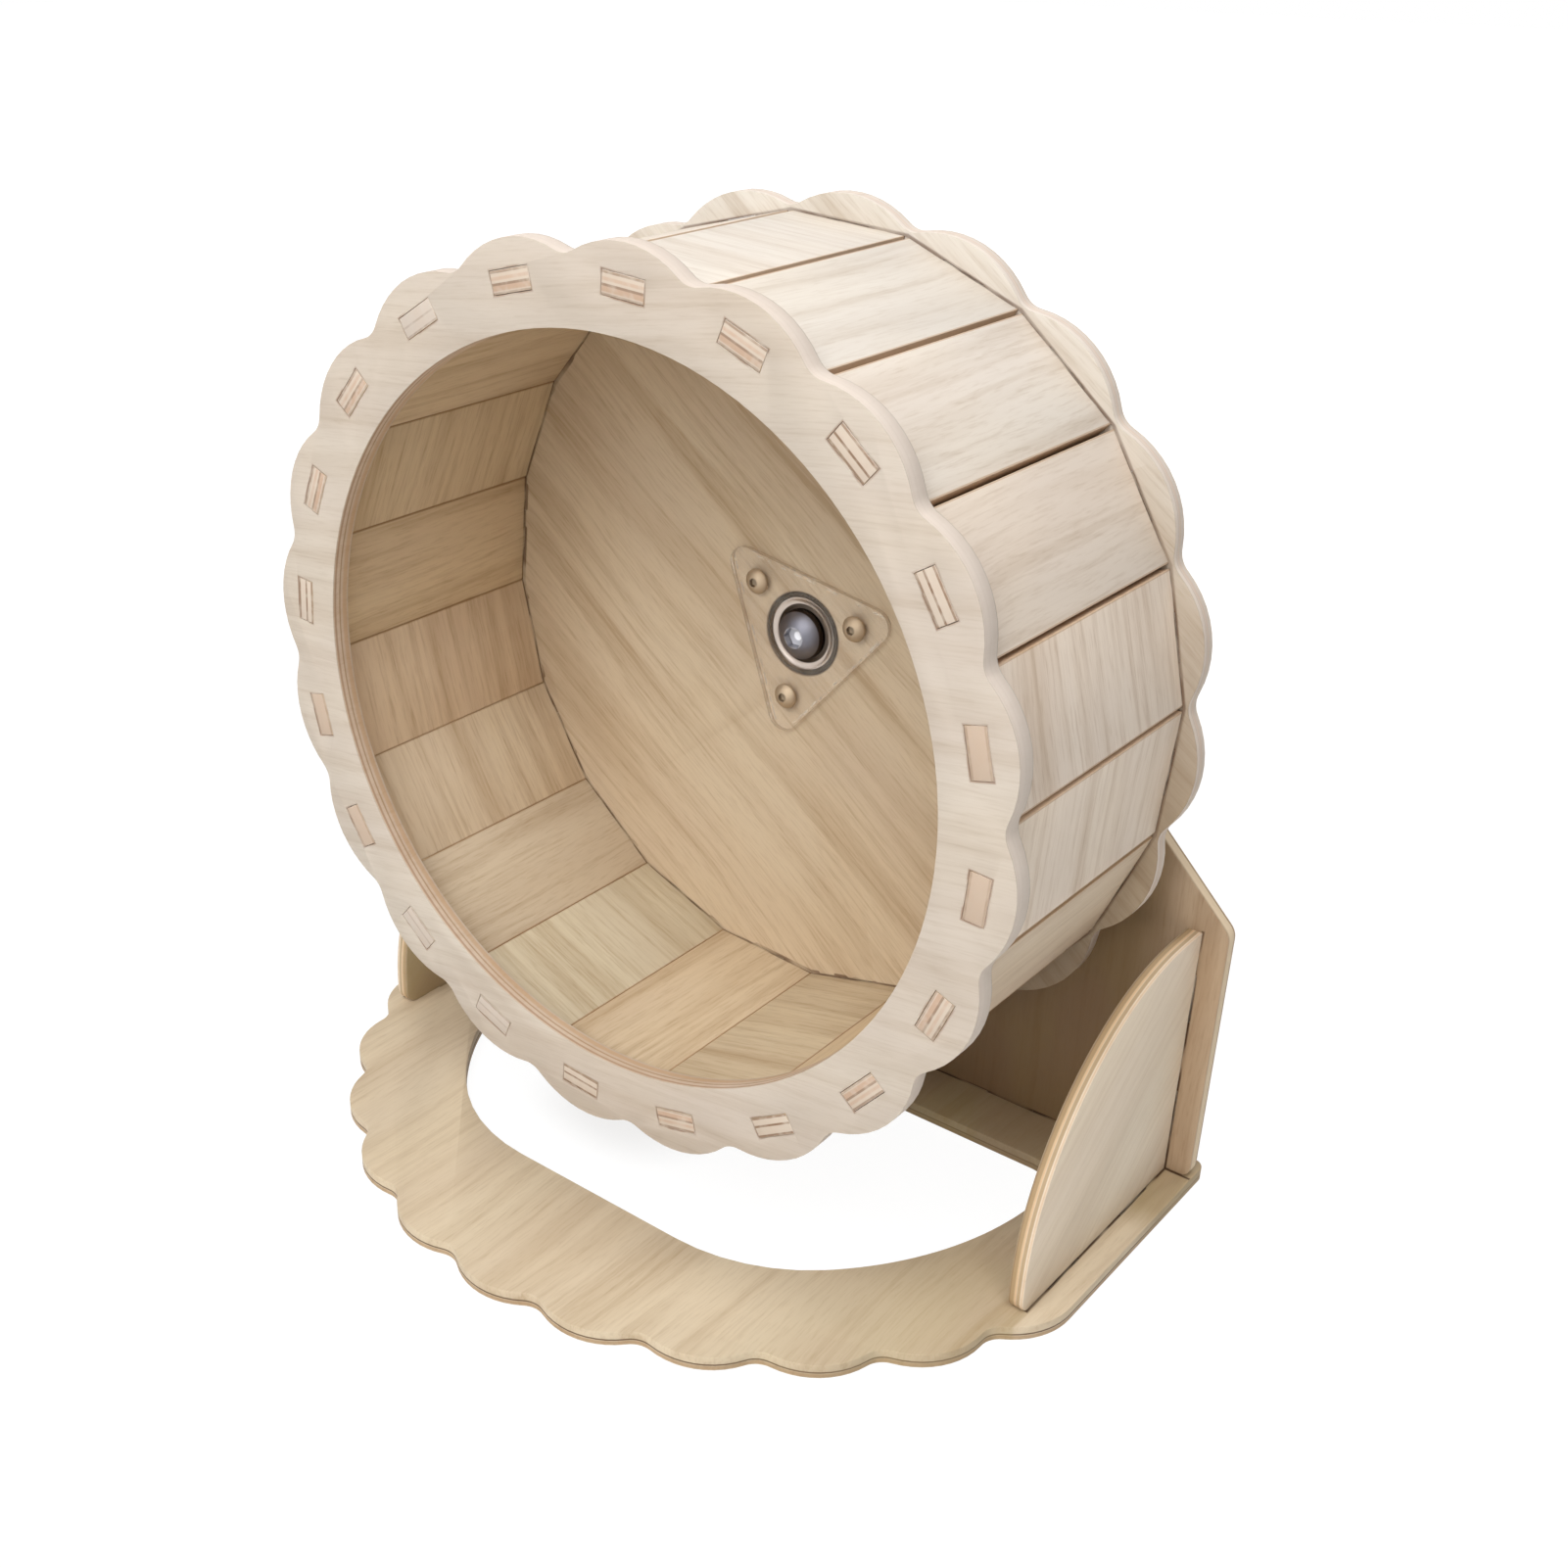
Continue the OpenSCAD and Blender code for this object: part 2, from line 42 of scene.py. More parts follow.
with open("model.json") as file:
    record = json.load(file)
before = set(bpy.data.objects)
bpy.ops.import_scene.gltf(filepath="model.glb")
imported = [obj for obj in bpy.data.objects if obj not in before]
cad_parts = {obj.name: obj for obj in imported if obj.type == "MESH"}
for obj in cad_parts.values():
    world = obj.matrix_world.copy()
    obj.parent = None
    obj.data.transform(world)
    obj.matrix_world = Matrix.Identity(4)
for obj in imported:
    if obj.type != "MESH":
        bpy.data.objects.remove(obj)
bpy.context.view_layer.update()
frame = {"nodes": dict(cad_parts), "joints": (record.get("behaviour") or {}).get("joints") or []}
NODES = frame["nodes"]
MM = 0.001

# The axle, as the wheel's joint gives it
AXLE = Vector(next(j["pos_m"] for j in frame["joints"] if j["name"] == "wheel_spin"))
AXLE_LINE = Vector((0, 1, 0))
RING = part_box("front_ring")
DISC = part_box("back_disc")
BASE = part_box("base_plate")
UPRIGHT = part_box("upright")
RIGHT_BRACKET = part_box("right_bracket")
OUTER_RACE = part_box("bearing_outer_race")
INNER_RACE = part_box("bearing_inner_race")
FRONT_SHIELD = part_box("bearing_front_shield")
REAR_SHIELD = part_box("bearing_rear_shield")
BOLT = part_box("axle_bolt")
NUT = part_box("axle_nut")

# Faces and thicknesses of the boards, in millimetres as the materials measure them: X and Z from the axle
RING_FRONT = RING[0].y / MM
RING_THICKNESS = (RING[1].y - RING[0].y) / MM
DISC_FRONT = DISC[0].y / MM
DISC_BACK = DISC[1].y / MM
DISC_THICKNESS = (DISC[1].y - DISC[0].y) / MM
BASE_TOP = (BASE[1].z - AXLE.z) / MM
BASE_THICKNESS = (BASE[1].z - BASE[0].z) / MM
UPRIGHT_FRONT = UPRIGHT[0].y / MM
UPRIGHT_THICKNESS = (UPRIGHT[1].y - UPRIGHT[0].y) / MM
BRACKET_INSIDE = RIGHT_BRACKET[0].x / MM
BRACKET_OUTSIDE = RIGHT_BRACKET[1].x / MM
BRACKET_FRONT = RIGHT_BRACKET[0].y / MM
BRACKET_TOP = (RIGHT_BRACKET[1].z - AXLE.z) / MM
RACE_FRONT = OUTER_RACE[0].y / MM
# How deep under a face its painted lines reach, and how far a joint's line lies off the board that makes it
SKIN = 0.2
LINE_OFF = 0.05

SLATS = sorted(name for name in NODES if name.startswith("slat_"))
# Angle from one slat to the next
PITCH = 2 * math.pi / len(SLATS)
# Slats are counted from 0. The grain of these runs round the drum, and that of the others along the axle.
ROUND_GRAIN = (1, 5, 6, 8, 10, 12, 14, 15, 17)
# Strength of the grain on the outside of the drum: that of most slats, and of those where it differs
PLAIN_FIGURE = 0.7
FIGURED = {3: 0.95, 4: 0.95, 5: 1.1, 6: 0.8}
# Slats whose colour differs from the others', and by how much in red, green and blue. The darker tints of
# slat 7 outside, on the drum's underside, and of slats 10 to 13 inside are painted shade; the others are
# the veneer's tone.
NO_TINT = (1, 1, 1)
OUTSIDE_TINTS_AND_SHADE = {1: (0.93, 0.97, 1.0), 2: (0.95, 0.99, 1.03), 3: (0.96, 0.98, 0.99),
                 5: (1.08, 1.05, 1.03), 6: (1.07, 1.06, 1.04), 7: (0.93, 0.86, 0.76)}
INSIDE_TINTS_AND_SHADE = {10: (0.9, 0.92, 0.94), 11: (0.89, 0.91, 0.94), 12: (0.88, 0.96, 1.04),
                13: (0.87, 0.9, 0.96), 14: (0.97, 1.0, 1.08), 15: (1.06, 1.03, 1.06)}
# Slats that meet the next one closely on the inside
CLOSE_JOINTS = (10, 11, 12, 13, 14, 15)
# What the tabs' ends show: thin lines of glue on pale wood, tan layers, or reddish end grain.
# The others are pale.
LINED_TABS = (3, 4, 9, 11, 16)
TAN_TABS = (0, 1, 2, 7, 8, 10, 17, 18)
REDDISH_TABS = (5, 6, 14, 15)
# Play of a tab in its slot as its outline shows it, in millimetres
SLOT_PLAY = 0.15
# Directions of the grain on the flat boards, in radians
RING_GRAIN = 0.12
DISC_GRAIN = math.radians(-38)
BRACKET_GRAIN = math.radians(38)
# Heights over the axle, in millimetres, between which the painted shade on the disc's lobes fades out
# towards the top
LOBES_SHADED = (-35, 125)
# Start of the noise in the wood. Each board adds its own number.
WOOD_SEED = 11.0

# Linear colours of the finishes, and of painted light and shade, that no setting changes
WHITE = (1, 1, 1, 1)
# Painted shade on the disc's lower lobes
LOBE_SHADE = (0.54, 0.45, 0.35, 1)
ACRYLIC_PALE = (1.0, 0.9, 0.78, 1)
# Painted reflection in the clear plates' sides
ACRYLIC_EDGE = (0.42, 0.3, 0.2, 1)
# Painted highlight and painted shade on the metal parts
METAL_HIGHLIGHT = (0.95, 0.95, 0.98, 1)
METAL_SHADE = (0.035, 0.023, 0.014, 1)
# Painted shadow on the floor under the drum
SHADOW_GREY = (0.87, 0.865, 0.86, 1)

# The hub's screws: angle from one to the next, angle of the first from the first slat, and radius of their
# circle in millimetres
THIRD = 2 * math.pi / 3
HUB_LEAN = math.radians(-36)
HUB_CIRCLE = 17.7
# Distance of the clear plates' sides from the axle, in millimetres
HUB_SIDE = 16.2
# How far the long sides of the slats are brought out towards their neighbours, in millimetres
CLOSER_INSIDE = 0.12
CLOSER_OUTSIDE = 0.3
# Angle between two faces, in radians, from which their edge is rounded, steps of the rounding, and its
# width on the slats
SHARP_ANGLE = 0.6
ROUNDING_STEPS = 2
SLAT_ROUNDING = 0.13 * MM
# Radius of the inner race's bore
BORE = 4 * MM
# Pitch of the bolt's thread, radius at its foot, height of its ridges, and depth of the piece under them
THREAD_PITCH = 1.25 * MM
THREAD_ROOT = 3.9 * MM
THREAD_RIDGE = 0.22 * MM
THREAD_WALL = 0.5 * MM

# Camera: its place in millimetres from the axle at the ring's front face, its angles in degrees, its lens
# in millimetres, and the shift of its picture
CAMERA_PLACE = Vector((255.607, -288.711, 175.193))
CAMERA_AZIMUTH = 40.452
CAMERA_ELEVATION = 27.445
CAMERA_LENS = 42.94
CAMERA_SHIFT = (0.0979, 0.0289)
# Azimuth and elevation of each lamp in degrees, 0 being the front and 90 the viewer's right
LAMPS = {"front": (0, 55), "low": (0, 25), "right": (45, 45), "back": (180, 60), "top": (0, 85)}
# The point that the lamps face, their distance from it and their width, in metres
LAMP_TARGET = Vector((0, 0, 0.11))
LAMP_DISTANCE = 1.8
LAMP_SIZE = 1.2
# Half the floor's width in metres, and how far it lies under the base
FLOOR_HALF = 4
FLOOR_DROP = 0.02 * MM
# The floor glows where it is seen. Strength of the glow, its share of the floor's look near the wheel, and
# the distances in millimetres between which that share rises to all of it
GLOW = 1.1
GLOW_SHARE = 0.86
GLOW_NEAR, GLOW_FAR = 250, 650
# Painted shadow on the floor under the drum, a soft grey patch: its middle, and half its width and depth,
# in millimetres
SHADOW_MIDDLE = (-22, -5)
SHADOW_HALF = (34, 22)


def linear(code):
    """The linear colour of a hex code such as d9c7ae."""
    parts = [int(code[i:i + 2], 16) / 255 for i in (0, 2, 4)]
    return [p / 12.92 if p <= 0.04045 else ((p + 0.055) / 1.055) ** 2.4 for p in parts]


def scaled(colour, *factors):
    """A colour with each channel multiplied, and an alpha of 1."""
    factors = factors * 3 if len(factors) == 1 else factors
    return (*(min(c * f, 1) for c, f in zip(colour, factors)), 1)


def tinted(colour, *tints):
    """A colour with each channel multiplied by that of every tint."""
    return [math.prod(channels) for channels in zip(colour, *tints)]


def colour_setting(name, description, code):
    return FloatVectorProperty(name=name, description=description, default=linear(code), subtype="COLOR",
                               min=0, max=1)


def power_setting(name, description, watts):
    return FloatProperty(name=name, description=description, default=watts, min=0, max=200, subtype="POWER")


class WheelWood(bpy.types.PropertyGroup):
    ring: colour_setting("Ring", "Veneer of the front ring", "ccc1b5")
    rim: colour_setting("Rims", "Outer edges of the front ring and the back disc", "e4d6ca")
    slat_outside: colour_setting("Slats outside", "Veneer of the slats, outside of the drum", "e6dace")
    # Darker than the outside: painted shade inside the drum
    slat_inside: colour_setting("Slats inside", "Veneer of the slats where the animal runs", "d9c6a9")
    # Darker than the disc's lobes: painted shade inside the drum
    disc: colour_setting("Disc", "Veneer of the back disc", "d3c1a7")
    lobes: colour_setting("Disc's lobes", "Veneer of the back disc outside the drum", "dcd6ce")
    base: colour_setting("Base", "Veneer of the base plate", "d7c7ae")
    # Darker than the other boards: painted shade of the upright behind the wheel
    upright: colour_setting("Upright", "Veneer of the upright", "b69e84")
    bracket: colour_setting("Brackets", "Veneer of the two brackets", "eddfcc")
    core: colour_setting("Core", "Inner layer of the plywood where an edge cuts it", "c49a6c")
    tab: colour_setting("Tab ends", "Darker layers where a tab's end shows them", "c6a58c")
    glue: colour_setting("Glue line", "Line between two layers of the plywood", "8a6340")
    # Also the colour of the painted shade in the joints, slots and gaps
    char: colour_setting("Cut edge", "Browned edge of a laser cut", "7a5234")
    grain: FloatProperty(name="Grain", description="Strength of the grain", default=1, min=0, max=2)
    eased: FloatProperty(name="Eased edges", description="Rounding of the sawn edges", default=0.25 * MM,
                         min=0.05 * MM, max=0.6 * MM, unit="LENGTH")


class WheelMetal(bpy.types.PropertyGroup):
    zinc: colour_setting("Zinc", "Plated steel of the axle's bolt, washer and nut", "7f7f88")
    screw: colour_setting("Screws", "Plated steel of the hub's screws and nuts", "c4b29a")
    bearing: colour_setting("Bearing", "Ground steel of the bearing's races", "c9c2bb")
    shield: colour_setting("Shield", "Pressed steel of the bearing's shields", "cfc2b8")
    segments: IntProperty(name="Segments", description="Segments round a turned piece", default=96, min=24,
                          max=256)
    eased: FloatProperty(name="Eased edges", description="Rounding of the metal edges", default=0.12 * MM,
                         min=0.02 * MM, max=0.4 * MM, unit="LENGTH")


class WheelStage(bpy.types.PropertyGroup):
    floor: colour_setting("Floor", "Colour of the floor", "e6e6e4")
    ambient: FloatProperty(name="Ambient", description="Strength of the light from all round", default=0.02,
                           min=0, max=2)
    front: power_setting("Front", "Power of the high lamp in front", 20.5)
    low: power_setting("Low", "Power of the low lamp in front, which lights the drum's inside", 9)
    right: power_setting("Right", "Power of the lamp at the right", 11.5)
    back: power_setting("Back", "Power of the lamp behind the upright", 9.5)
    top: power_setting("Top", "Power of the lamp overhead", 3.5)


# Shader maths


class Value:
    """An output of a shader node, on which arithmetic adds Math nodes."""

    def __init__(self, graph, socket):
        self.graph = graph
        self.socket = socket

    def maths(self, operation, *others):
        return self.graph.maths(operation, self, *others)

    def __add__(self, other):
        return self.maths("ADD", other)

    def __sub__(self, other):
        return self.maths("SUBTRACT", other)

    def __rsub__(self, other):
        return self.graph.maths("SUBTRACT", other, self)

    def __mul__(self, other):
        return self.maths("MULTIPLY", other)

    def __truediv__(self, other):
        return self.maths("DIVIDE", other)

    def __rtruediv__(self, other):
        return self.graph.maths("DIVIDE", other, self)

    def __abs__(self):
        return self.maths("ABSOLUTE")

    __radd__ = __add__
    __rmul__ = __mul__

    def most(self, other):
        """The greater of the two values."""
        return self.maths("MAXIMUM", other)

    def least(self, other):
        """The smaller of the two values."""
        return self.maths("MINIMUM", other)

    def rise(self, low, high):
        """0 below low and 1 above high, with a smooth rise between them."""
        return self.graph.node("ShaderNodeMapRange", {"interpolation_type": "SMOOTHSTEP"},
                               [self, low, high, 0, 1])


class Graph:
    """The node tree of a new material or of the world."""

    def __init__(self, owner, output="ShaderNodeOutputMaterial"):
        owner.use_nodes = True
        self.tree = owner.node_tree
        self.tree.nodes.clear()
        self.output = self.tree.nodes.new(output)

    def node(self, kind, settings=None, inputs=(), output=0):
        """Adds a node with its settings, and values or links in its sockets. Gives one of its outputs."""
        made = self.tree.nodes.new(kind)
        for name, value in (settings or {}).items():
            setattr(made, name, value)
        for key, value in inputs.items() if isinstance(inputs, dict) else enumerate(inputs):
            if isinstance(value, Value):
                self.tree.links.new(value.socket, made.inputs[key])
            else:
                made.inputs[key].default_value = value
        return Value(self, made.outputs[output])

    def finish(self, surface):
        self.tree.links.new(surface.socket, self.output.inputs["Surface"])

    def maths(self, operation, *values):
        return self.node("ShaderNodeMath", {"operation": operation}, values)

    def place(self):
        """X, Y and Z of a point in millimetres, X and Z from the axle."""
        point = self.node("ShaderNodeTexCoord", output="Object")
        moved = self.node("ShaderNodeMapping", {"vector_type": "POINT"},
                          {"Vector": point, "Location": (0, 0, -AXLE.z / MM), "Scale": (1 / MM,) * 3})
        return [self.node("ShaderNodeSeparateXYZ", inputs=[moved], output=i) for i in range(3)]

    def noise(self, x, y, z, detail=2.0, roughness=0.5):
        vector = self.node("ShaderNodeCombineXYZ", inputs=[x, y, z])
        return self.node("ShaderNodeTexNoise", inputs={"Vector": vector, "Scale": 1.0, "Detail": detail,
                                                       "Roughness": roughness})

    def mix(self, factor, a, b, blend="MIX"):
        """Colour a where the factor is 0, and b where it is 1."""
        return self.node("ShaderNodeMix", {"data_type": "RGBA", "blend_type": blend},
                         {0: factor, 6: a, 7: b}, 2)

    def mix_shaders(self, factor, a, b):
        return self.node("ShaderNodeMixShader", inputs=[factor, a, b])

    def bump(self, height, distance, strength):
        return self.node("ShaderNodeBump",
                         inputs={"Strength": strength, "Distance": distance, "Height": height})

    def shade(self, **sockets):
        """A Principled shader, with its sockets named in words joined by underscores."""
        inputs = {name.replace("_", " ").title().replace("Ior", "IOR"): value
                  for name, value in sockets.items()}
        return self.node("ShaderNodeBsdfPrincipled", inputs=inputs)


def new_material(name):
    material = bpy.data.materials.new(name)
    return material, Graph(material)


def distance(a, b):
    """How far a point is from where both values are 0."""
    return (a * a + b * b).maths("SQRT")


def rotated(a, b, angle):
    """The two directions of a flat face, turned by an angle."""
    cos, sin = math.cos(angle), math.sin(angle)
    return a * cos + b * sin, b * cos - a * sin


def by_nearest(x, z, first, step):
    """How far a point lies beside, and how far out along, the nearest of the lines that leave the axle at
    equal steps of angle. first is the angle of one of them."""
    turns = (x.maths("ARCTAN2", z) - first) / step
    angle = (turns - (turns + 0.5).maths("FLOOR")) * step
    radius = distance(x, z)
    return radius * angle.maths("SINE"), radius * angle.maths("COSINE")


# Materials


class Grain:
    """Straight grain from places in millimetres: along and across it, and through the board. coarse is how
    many times wider its lines are."""

    def __init__(self, graph, along, across, depth, seed, coarse=1.0):
        wander = graph.noise(along * 0.011, across * 0.02, seed, detail=1)
        line = (across + (wander - 0.5) * 8) / coarse
        self.graph = graph
        self.tone = graph.noise(along * 0.004, line * 0.03, seed + 3.1, detail=2)
        self.broad = graph.noise(along * 0.009, line * 0.13, depth * 0.1 + (seed + 7.7), detail=1)
        self.fine = graph.noise(along * 0.016, line * 0.42, depth * 0.3 + (seed + 17), detail=3,
                                roughness=0.6)
        self.pores = graph.noise(along * 0.13, line * 1.5, depth * 0.5 + (seed + 29), detail=2,
                                 roughness=0.65)
        self.patch = graph.noise(along * 0.025, across * 0.05, seed + 41, detail=1)

    def veneer(self, light, strength):
        """The colour of a face: light between the lines, a little browner on them."""
        amount = (self.broad.rise(0.45, 0.72) * 0.42 + self.fine.rise(0.46, 0.7) * 0.42
                  + self.pores.rise(0.45, 0.78) * 0.42) * strength
        colour = self.graph.mix(self.tone.rise(0.3, 0.7), scaled(light, 1.045, 1.045, 1.02),
                                scaled(light, 0.975, 0.95, 0.93))
        colour = self.graph.mix(self.patch.rise(0.35, 0.7) * 0.5, colour, scaled(light, 1.02, 0.99, 0.93))
        return self.graph.mix(amount.least(1.0), colour, scaled(light, 0.74, 0.66, 0.57))

    def height(self):
        """The relief of the grain."""
        return self.fine * 0.6 + self.pores * 0.4


def layered(graph, colour, share, bands, amount=1.0):
    """Lines of the plywood's layers on a cut edge. share runs from 0 to 1 through the board, and a band has
    its middle and half its width as such shares, its colour and its strength."""
    for middle, half, tone, strength in bands:
        band = 1 - abs(share - middle).rise(half * 0.6, half * 1.2)
        colour = graph.mix(band * amount * strength, colour, tone)
    return colour


def between_faces(share):
    """1 on a board's cut edges and 0 on its two faces."""
    return share.rise(0.02, 0.07) * (1 - share.rise(0.93, 0.98))


def finish_wood(graph, colour, grain):
    """Gives a board its colour, its sanded sheen and the relief of its grain."""
    normal = graph.bump(grain.height(), 0.03 * MM, 0.5)
    graph.finish(graph.shade(base_color=colour, roughness=grain.fine * 0.12 + 0.55, normal=normal,
                             specular_ior_level=0.3))


def slot_outline(graph, x, z, sideways, height):
    """The dark line round each of the slots that hold the slats' tabs: the browned cut edge, with painted
    shade in the gap round the tab.
    """
    beside = abs(sideways) - (SLAT.tab + SLOT_PLAY)
    beyond = abs(height - SLAT.middle) - (SLAT.thickness / 2 + SLOT_PLAY)
    uneven = graph.noise(x * 0.14, z * 0.14, 4.0, detail=2)
    return (1 - abs(beside.most(beyond)).rise(0.05, 0.5)) * (uneven.rise(0.42, 0.6) * 0.85 + 0.15)


def ring_material(wood):
    """Veneer of the front ring, with the plywood's layers on its inner edge."""
    material, graph = new_material("ring_wood")
    x, y, z = graph.place()
    depth = y - RING_FRONT
    grain = Grain(graph, *rotated(x, z, RING_GRAIN), depth, WOOD_SEED, 0.8)
    colour = grain.veneer(wood.ring, 0.65 * wood.grain)
    outline = slot_outline(graph, x, z, *by_nearest(x, z, SLAT.turn, PITCH))
    colour = graph.mix(outline * 0.6, colour, scaled(wood.char, 1.1))
    share = depth / RING_THICKNESS
    edge = between_faces(share)
    inner = 1 - distance(x, z).rise(SLAT.inner - 4, SLAT.inner - 2)
    colour = graph.mix(edge * (1 - inner) * 0.75, colour, scaled(wood.rim, 1.0))
    colour = graph.mix(edge * inner * 0.2, colour, scaled(wood.core, 1.3))
    bands = ((0.16, 0.07, scaled(wood.glue, 1.3, 1.4, 1.9), 0.6),
             (0.46, 0.05, scaled(wood.glue, 1.2), 0.55), (0.78, 0.14, scaled(wood.core, 1.0), 0.42))
    colour = layered(graph, colour, share, bands, inner * 0.93 + 0.07)
    finish_wood(graph, colour, grain)
    return material


def disc_material(wood):
    """Veneer of the back disc, with painted shade on its lower lobes, and the dark lines where the slats
    and the bearing meet it, which are char with painted shade in the gaps.
    """
    material, graph = new_material("disc_wood")
    x, y, z = graph.place()
    depth = y - DISC_FRONT
    share = depth / DISC_THICKNESS
    radius = distance(x, z)
    sideways, height = by_nearest(x, z, SLAT.turn, PITCH)
    grain = Grain(graph, *rotated(x, z, DISC_GRAIN), depth, WOOD_SEED + 40)

    outer = radius.rise(SLAT.inner, SLAT.inner + 6)
    before_back = 1 - depth.rise(DISC_THICKNESS - 0.6, DISC_THICKNESS - 0.3)
    lobes = grain.veneer(wood.lobes, 0.9 * wood.grain)
    # Painted shade: the lobes darker towards the bottom
    low = 1 - z.rise(*LOBES_SHADED)
    lobes = graph.mix(low, lobes, graph.mix(1.0, lobes, LOBE_SHADE, "MULTIPLY"))
    colour = graph.mix(outer * before_back, grain.veneer(wood.disc, 1.15 * wood.grain), lobes)
    colour = graph.mix(outer * between_faces(share) * 0.75, colour, scaled(wood.rim, 1.0))
    bands = ((0.36, 0.05, scaled(wood.glue, 1.2), 0.2), (0.55, 0.12, scaled(wood.core, 1.1), 0.2))
    colour = layered(graph, colour, share, bands)

    outline = slot_outline(graph, x, z, sideways, height)
    front = 1 - depth.rise(0.3, 0.6)
    uneven = graph.noise(x * 0.09, z * 0.09, 9.0, detail=1).rise(0.4, 0.6) * 0.65 + 0.35
    dash = graph.noise(x * 0.13, z * 0.13, 14.0, detail=1).rise(0.55, 0.62)
    slat_inside, slat_outside = SLAT.inner - 0.1, SLAT.inner + SLAT.thickness + 0.1
    inside = (1 - (abs(height - slat_inside) - dash * 0.6).rise(0.1, 0.45)) * uneven
    outside = (1 - abs(height - slat_outside).rise(0.2, 0.7)) * (uneven * 0.6 + 0.4)
    # Char and painted shade round the bearing's seat
    seat = radius_of(OUTER_RACE) / MM
    bore = 1 - radius.rise(seat + 0.1, seat + 0.5)
    dark = (outline * 0.5).most(inside.most(outside) * front * 0.75).most(bore * 0.8)
    colour = graph.mix(dark, colour, scaled(wood.char, 0.6))
    finish_wood(graph, colour, grain)
    return material


def tab_end(number, wood):
    """The colour of the ends of a slat's tabs, and the bands of the plywood's layers on them."""
    dark, pale = scaled(wood.glue, 0.85, 0.9, 1.1), scaled(wood.ring, 1.06, 1.03, 0.98)
    if number in LINED_TABS:
        return pale, ((0.05, 0.06, dark, 0.75), (0.44, 0.06, dark, 0.85), (0.93, 0.06, dark, 0.8))
    if number in TAN_TABS:
        return pale, ((0.05, 0.05, dark, 0.45), (0.26, 0.13, scaled(wood.tab, 0.95), 0.85),
                      (0.42, 0.06, dark, 0.7), (0.66, 0.08, scaled(wood.tab, 1.0), 0.6),
                      (0.93, 0.06, dark, 0.6))
    if number in REDDISH_TABS:
        return scaled(wood.ring, 0.92, 0.82, 0.73), ((0.06, 0.07, dark, 0.35), (0.94, 0.06, dark, 0.3))
    return scaled(wood.ring, 1.0), ((0.06, 0.05, dark, 0.4), (0.5, 0.05, dark, 0.3))


def slat_material(number, wood):
    """Veneer of one slat: pale outside, darker inside with painted shade, and browned on its sawn sides."""
    material, graph = new_material(f"slat_wood_{number + 1:02d}")
    x, y, z = graph.place()
    sideways, height = rotated(x, z, -(SLAT.turn + number * PITCH))
    depth = height - SLAT.inner
    along, across = (sideways, y) if number in ROUND_GRAIN else (y, sideways)
    seed = WOOD_SEED + 5.3 * number
    grain = Grain(graph, along, across, depth, seed)
    tint = [1 + 0.03 * math.sin(2.4 * number) + 0.012 * math.sin(3.7 * number + k) for k in (0, 0.7, 1.6)]
    light = tinted(wood.slat_inside, tint, INSIDE_TINTS_AND_SHADE.get(number, NO_TINT))
    inside = grain.veneer(light, 1.2 * wood.grain)
    light = tinted(wood.slat_outside, tint, OUTSIDE_TINTS_AND_SHADE.get(number, NO_TINT))
    outside = grain.veneer(light, FIGURED.get(number, PLAIN_FIGURE) * wood.grain)
    colour = graph.mix(depth.rise(1.0, 2.0), inside, outside)

    fibres = graph.noise(sideways * 0.5, y, depth * 0.5 + seed, detail=1)
    end, bands = tab_end(number, wood)
    end = graph.mix(fibres * 0.3, end, scaled(wood.tab, 1.0))
    end = layered(graph, end, depth / SLAT.thickness, bands, fibres.rise(0.25, 0.6) * 0.5 + 0.5)
    tip = (RING_FRONT + 0.1 - y).rise(0, 0.1).most((y - DISC_BACK + 0.1).rise(0, 0.1))
    colour = graph.mix(tip, colour, end)

    side = abs(sideways).rise(SLAT.half - 0.12, SLAT.half - 0.02)
    colour = graph.mix(side * 0.55, colour, scaled(wood.core, 0.9))
    joint = abs(sideways).rise(SLAT.half - 0.45, SLAT.half - 0.15) * (1 - depth.rise(0.3, 1.2))
    shown = 0.16 if number in CLOSE_JOINTS else 0.4 + 0.3 * math.sin(2.9 * number + 0.6)
    colour = graph.mix(joint * shown, colour, scaled(wood.char, 0.9))
    uneven = graph.noise(sideways * 0.1 + seed, 2.0, 5.0, detail=1).rise(0.4, 0.55) * 0.6 + 0.2
    # Dark line where the slat meets the disc: char, with painted shade in the gap
    seam = y.rise(DISC_FRONT - 0.65, DISC_FRONT - 0.3) * (1 - y.rise(DISC_FRONT, DISC_FRONT + 0.1))
    colour = graph.mix(seam * uneven, colour, scaled(wood.char, 0.6))
    finish_wood(graph, colour, grain)
    return material


def board_material(name, wood, light, strength, seed, thickness, bands, place, crease, painted_shade):
    """Veneer of a flat board. place turns X, Y and Z into along, across and depth. crease gives the
    distance in millimetres from the nearest joint with another board, along which a painted shadow runs,
    and painted_shade how far a place is darkened by painted shade, from 0 to 1."""
    material, graph = new_material(name)
    x, y, z = graph.place()
    along, across, depth = place(x, y, z)
    grain = Grain(graph, along, across, depth, seed)
    colour = layered(graph, grain.veneer(light, strength * wood.grain), depth / thickness, bands)
    # Colour of the painted shade
    browned = graph.mix(grain.patch.rise(0.4, 0.62), scaled(light, 0.53, 0.46, 0.27),
                        scaled(light, 0.51, 0.42, 0.3))
    colour = graph.mix(painted_shade(x, y, z), colour, browned)
    # Painted shadow along the joints with other boards
    uneven = graph.noise(x * 0.07, y * 0.07, z * 0.07 + seed, detail=1).rise(0.35, 0.55) * 0.75 + 0.2
    colour = graph.mix((1 - crease(x, y, z).rise(0.15, 0.6)) * uneven, colour, scaled(wood.char, 0.35))
    finish_wood(graph, colour, grain)
    return material


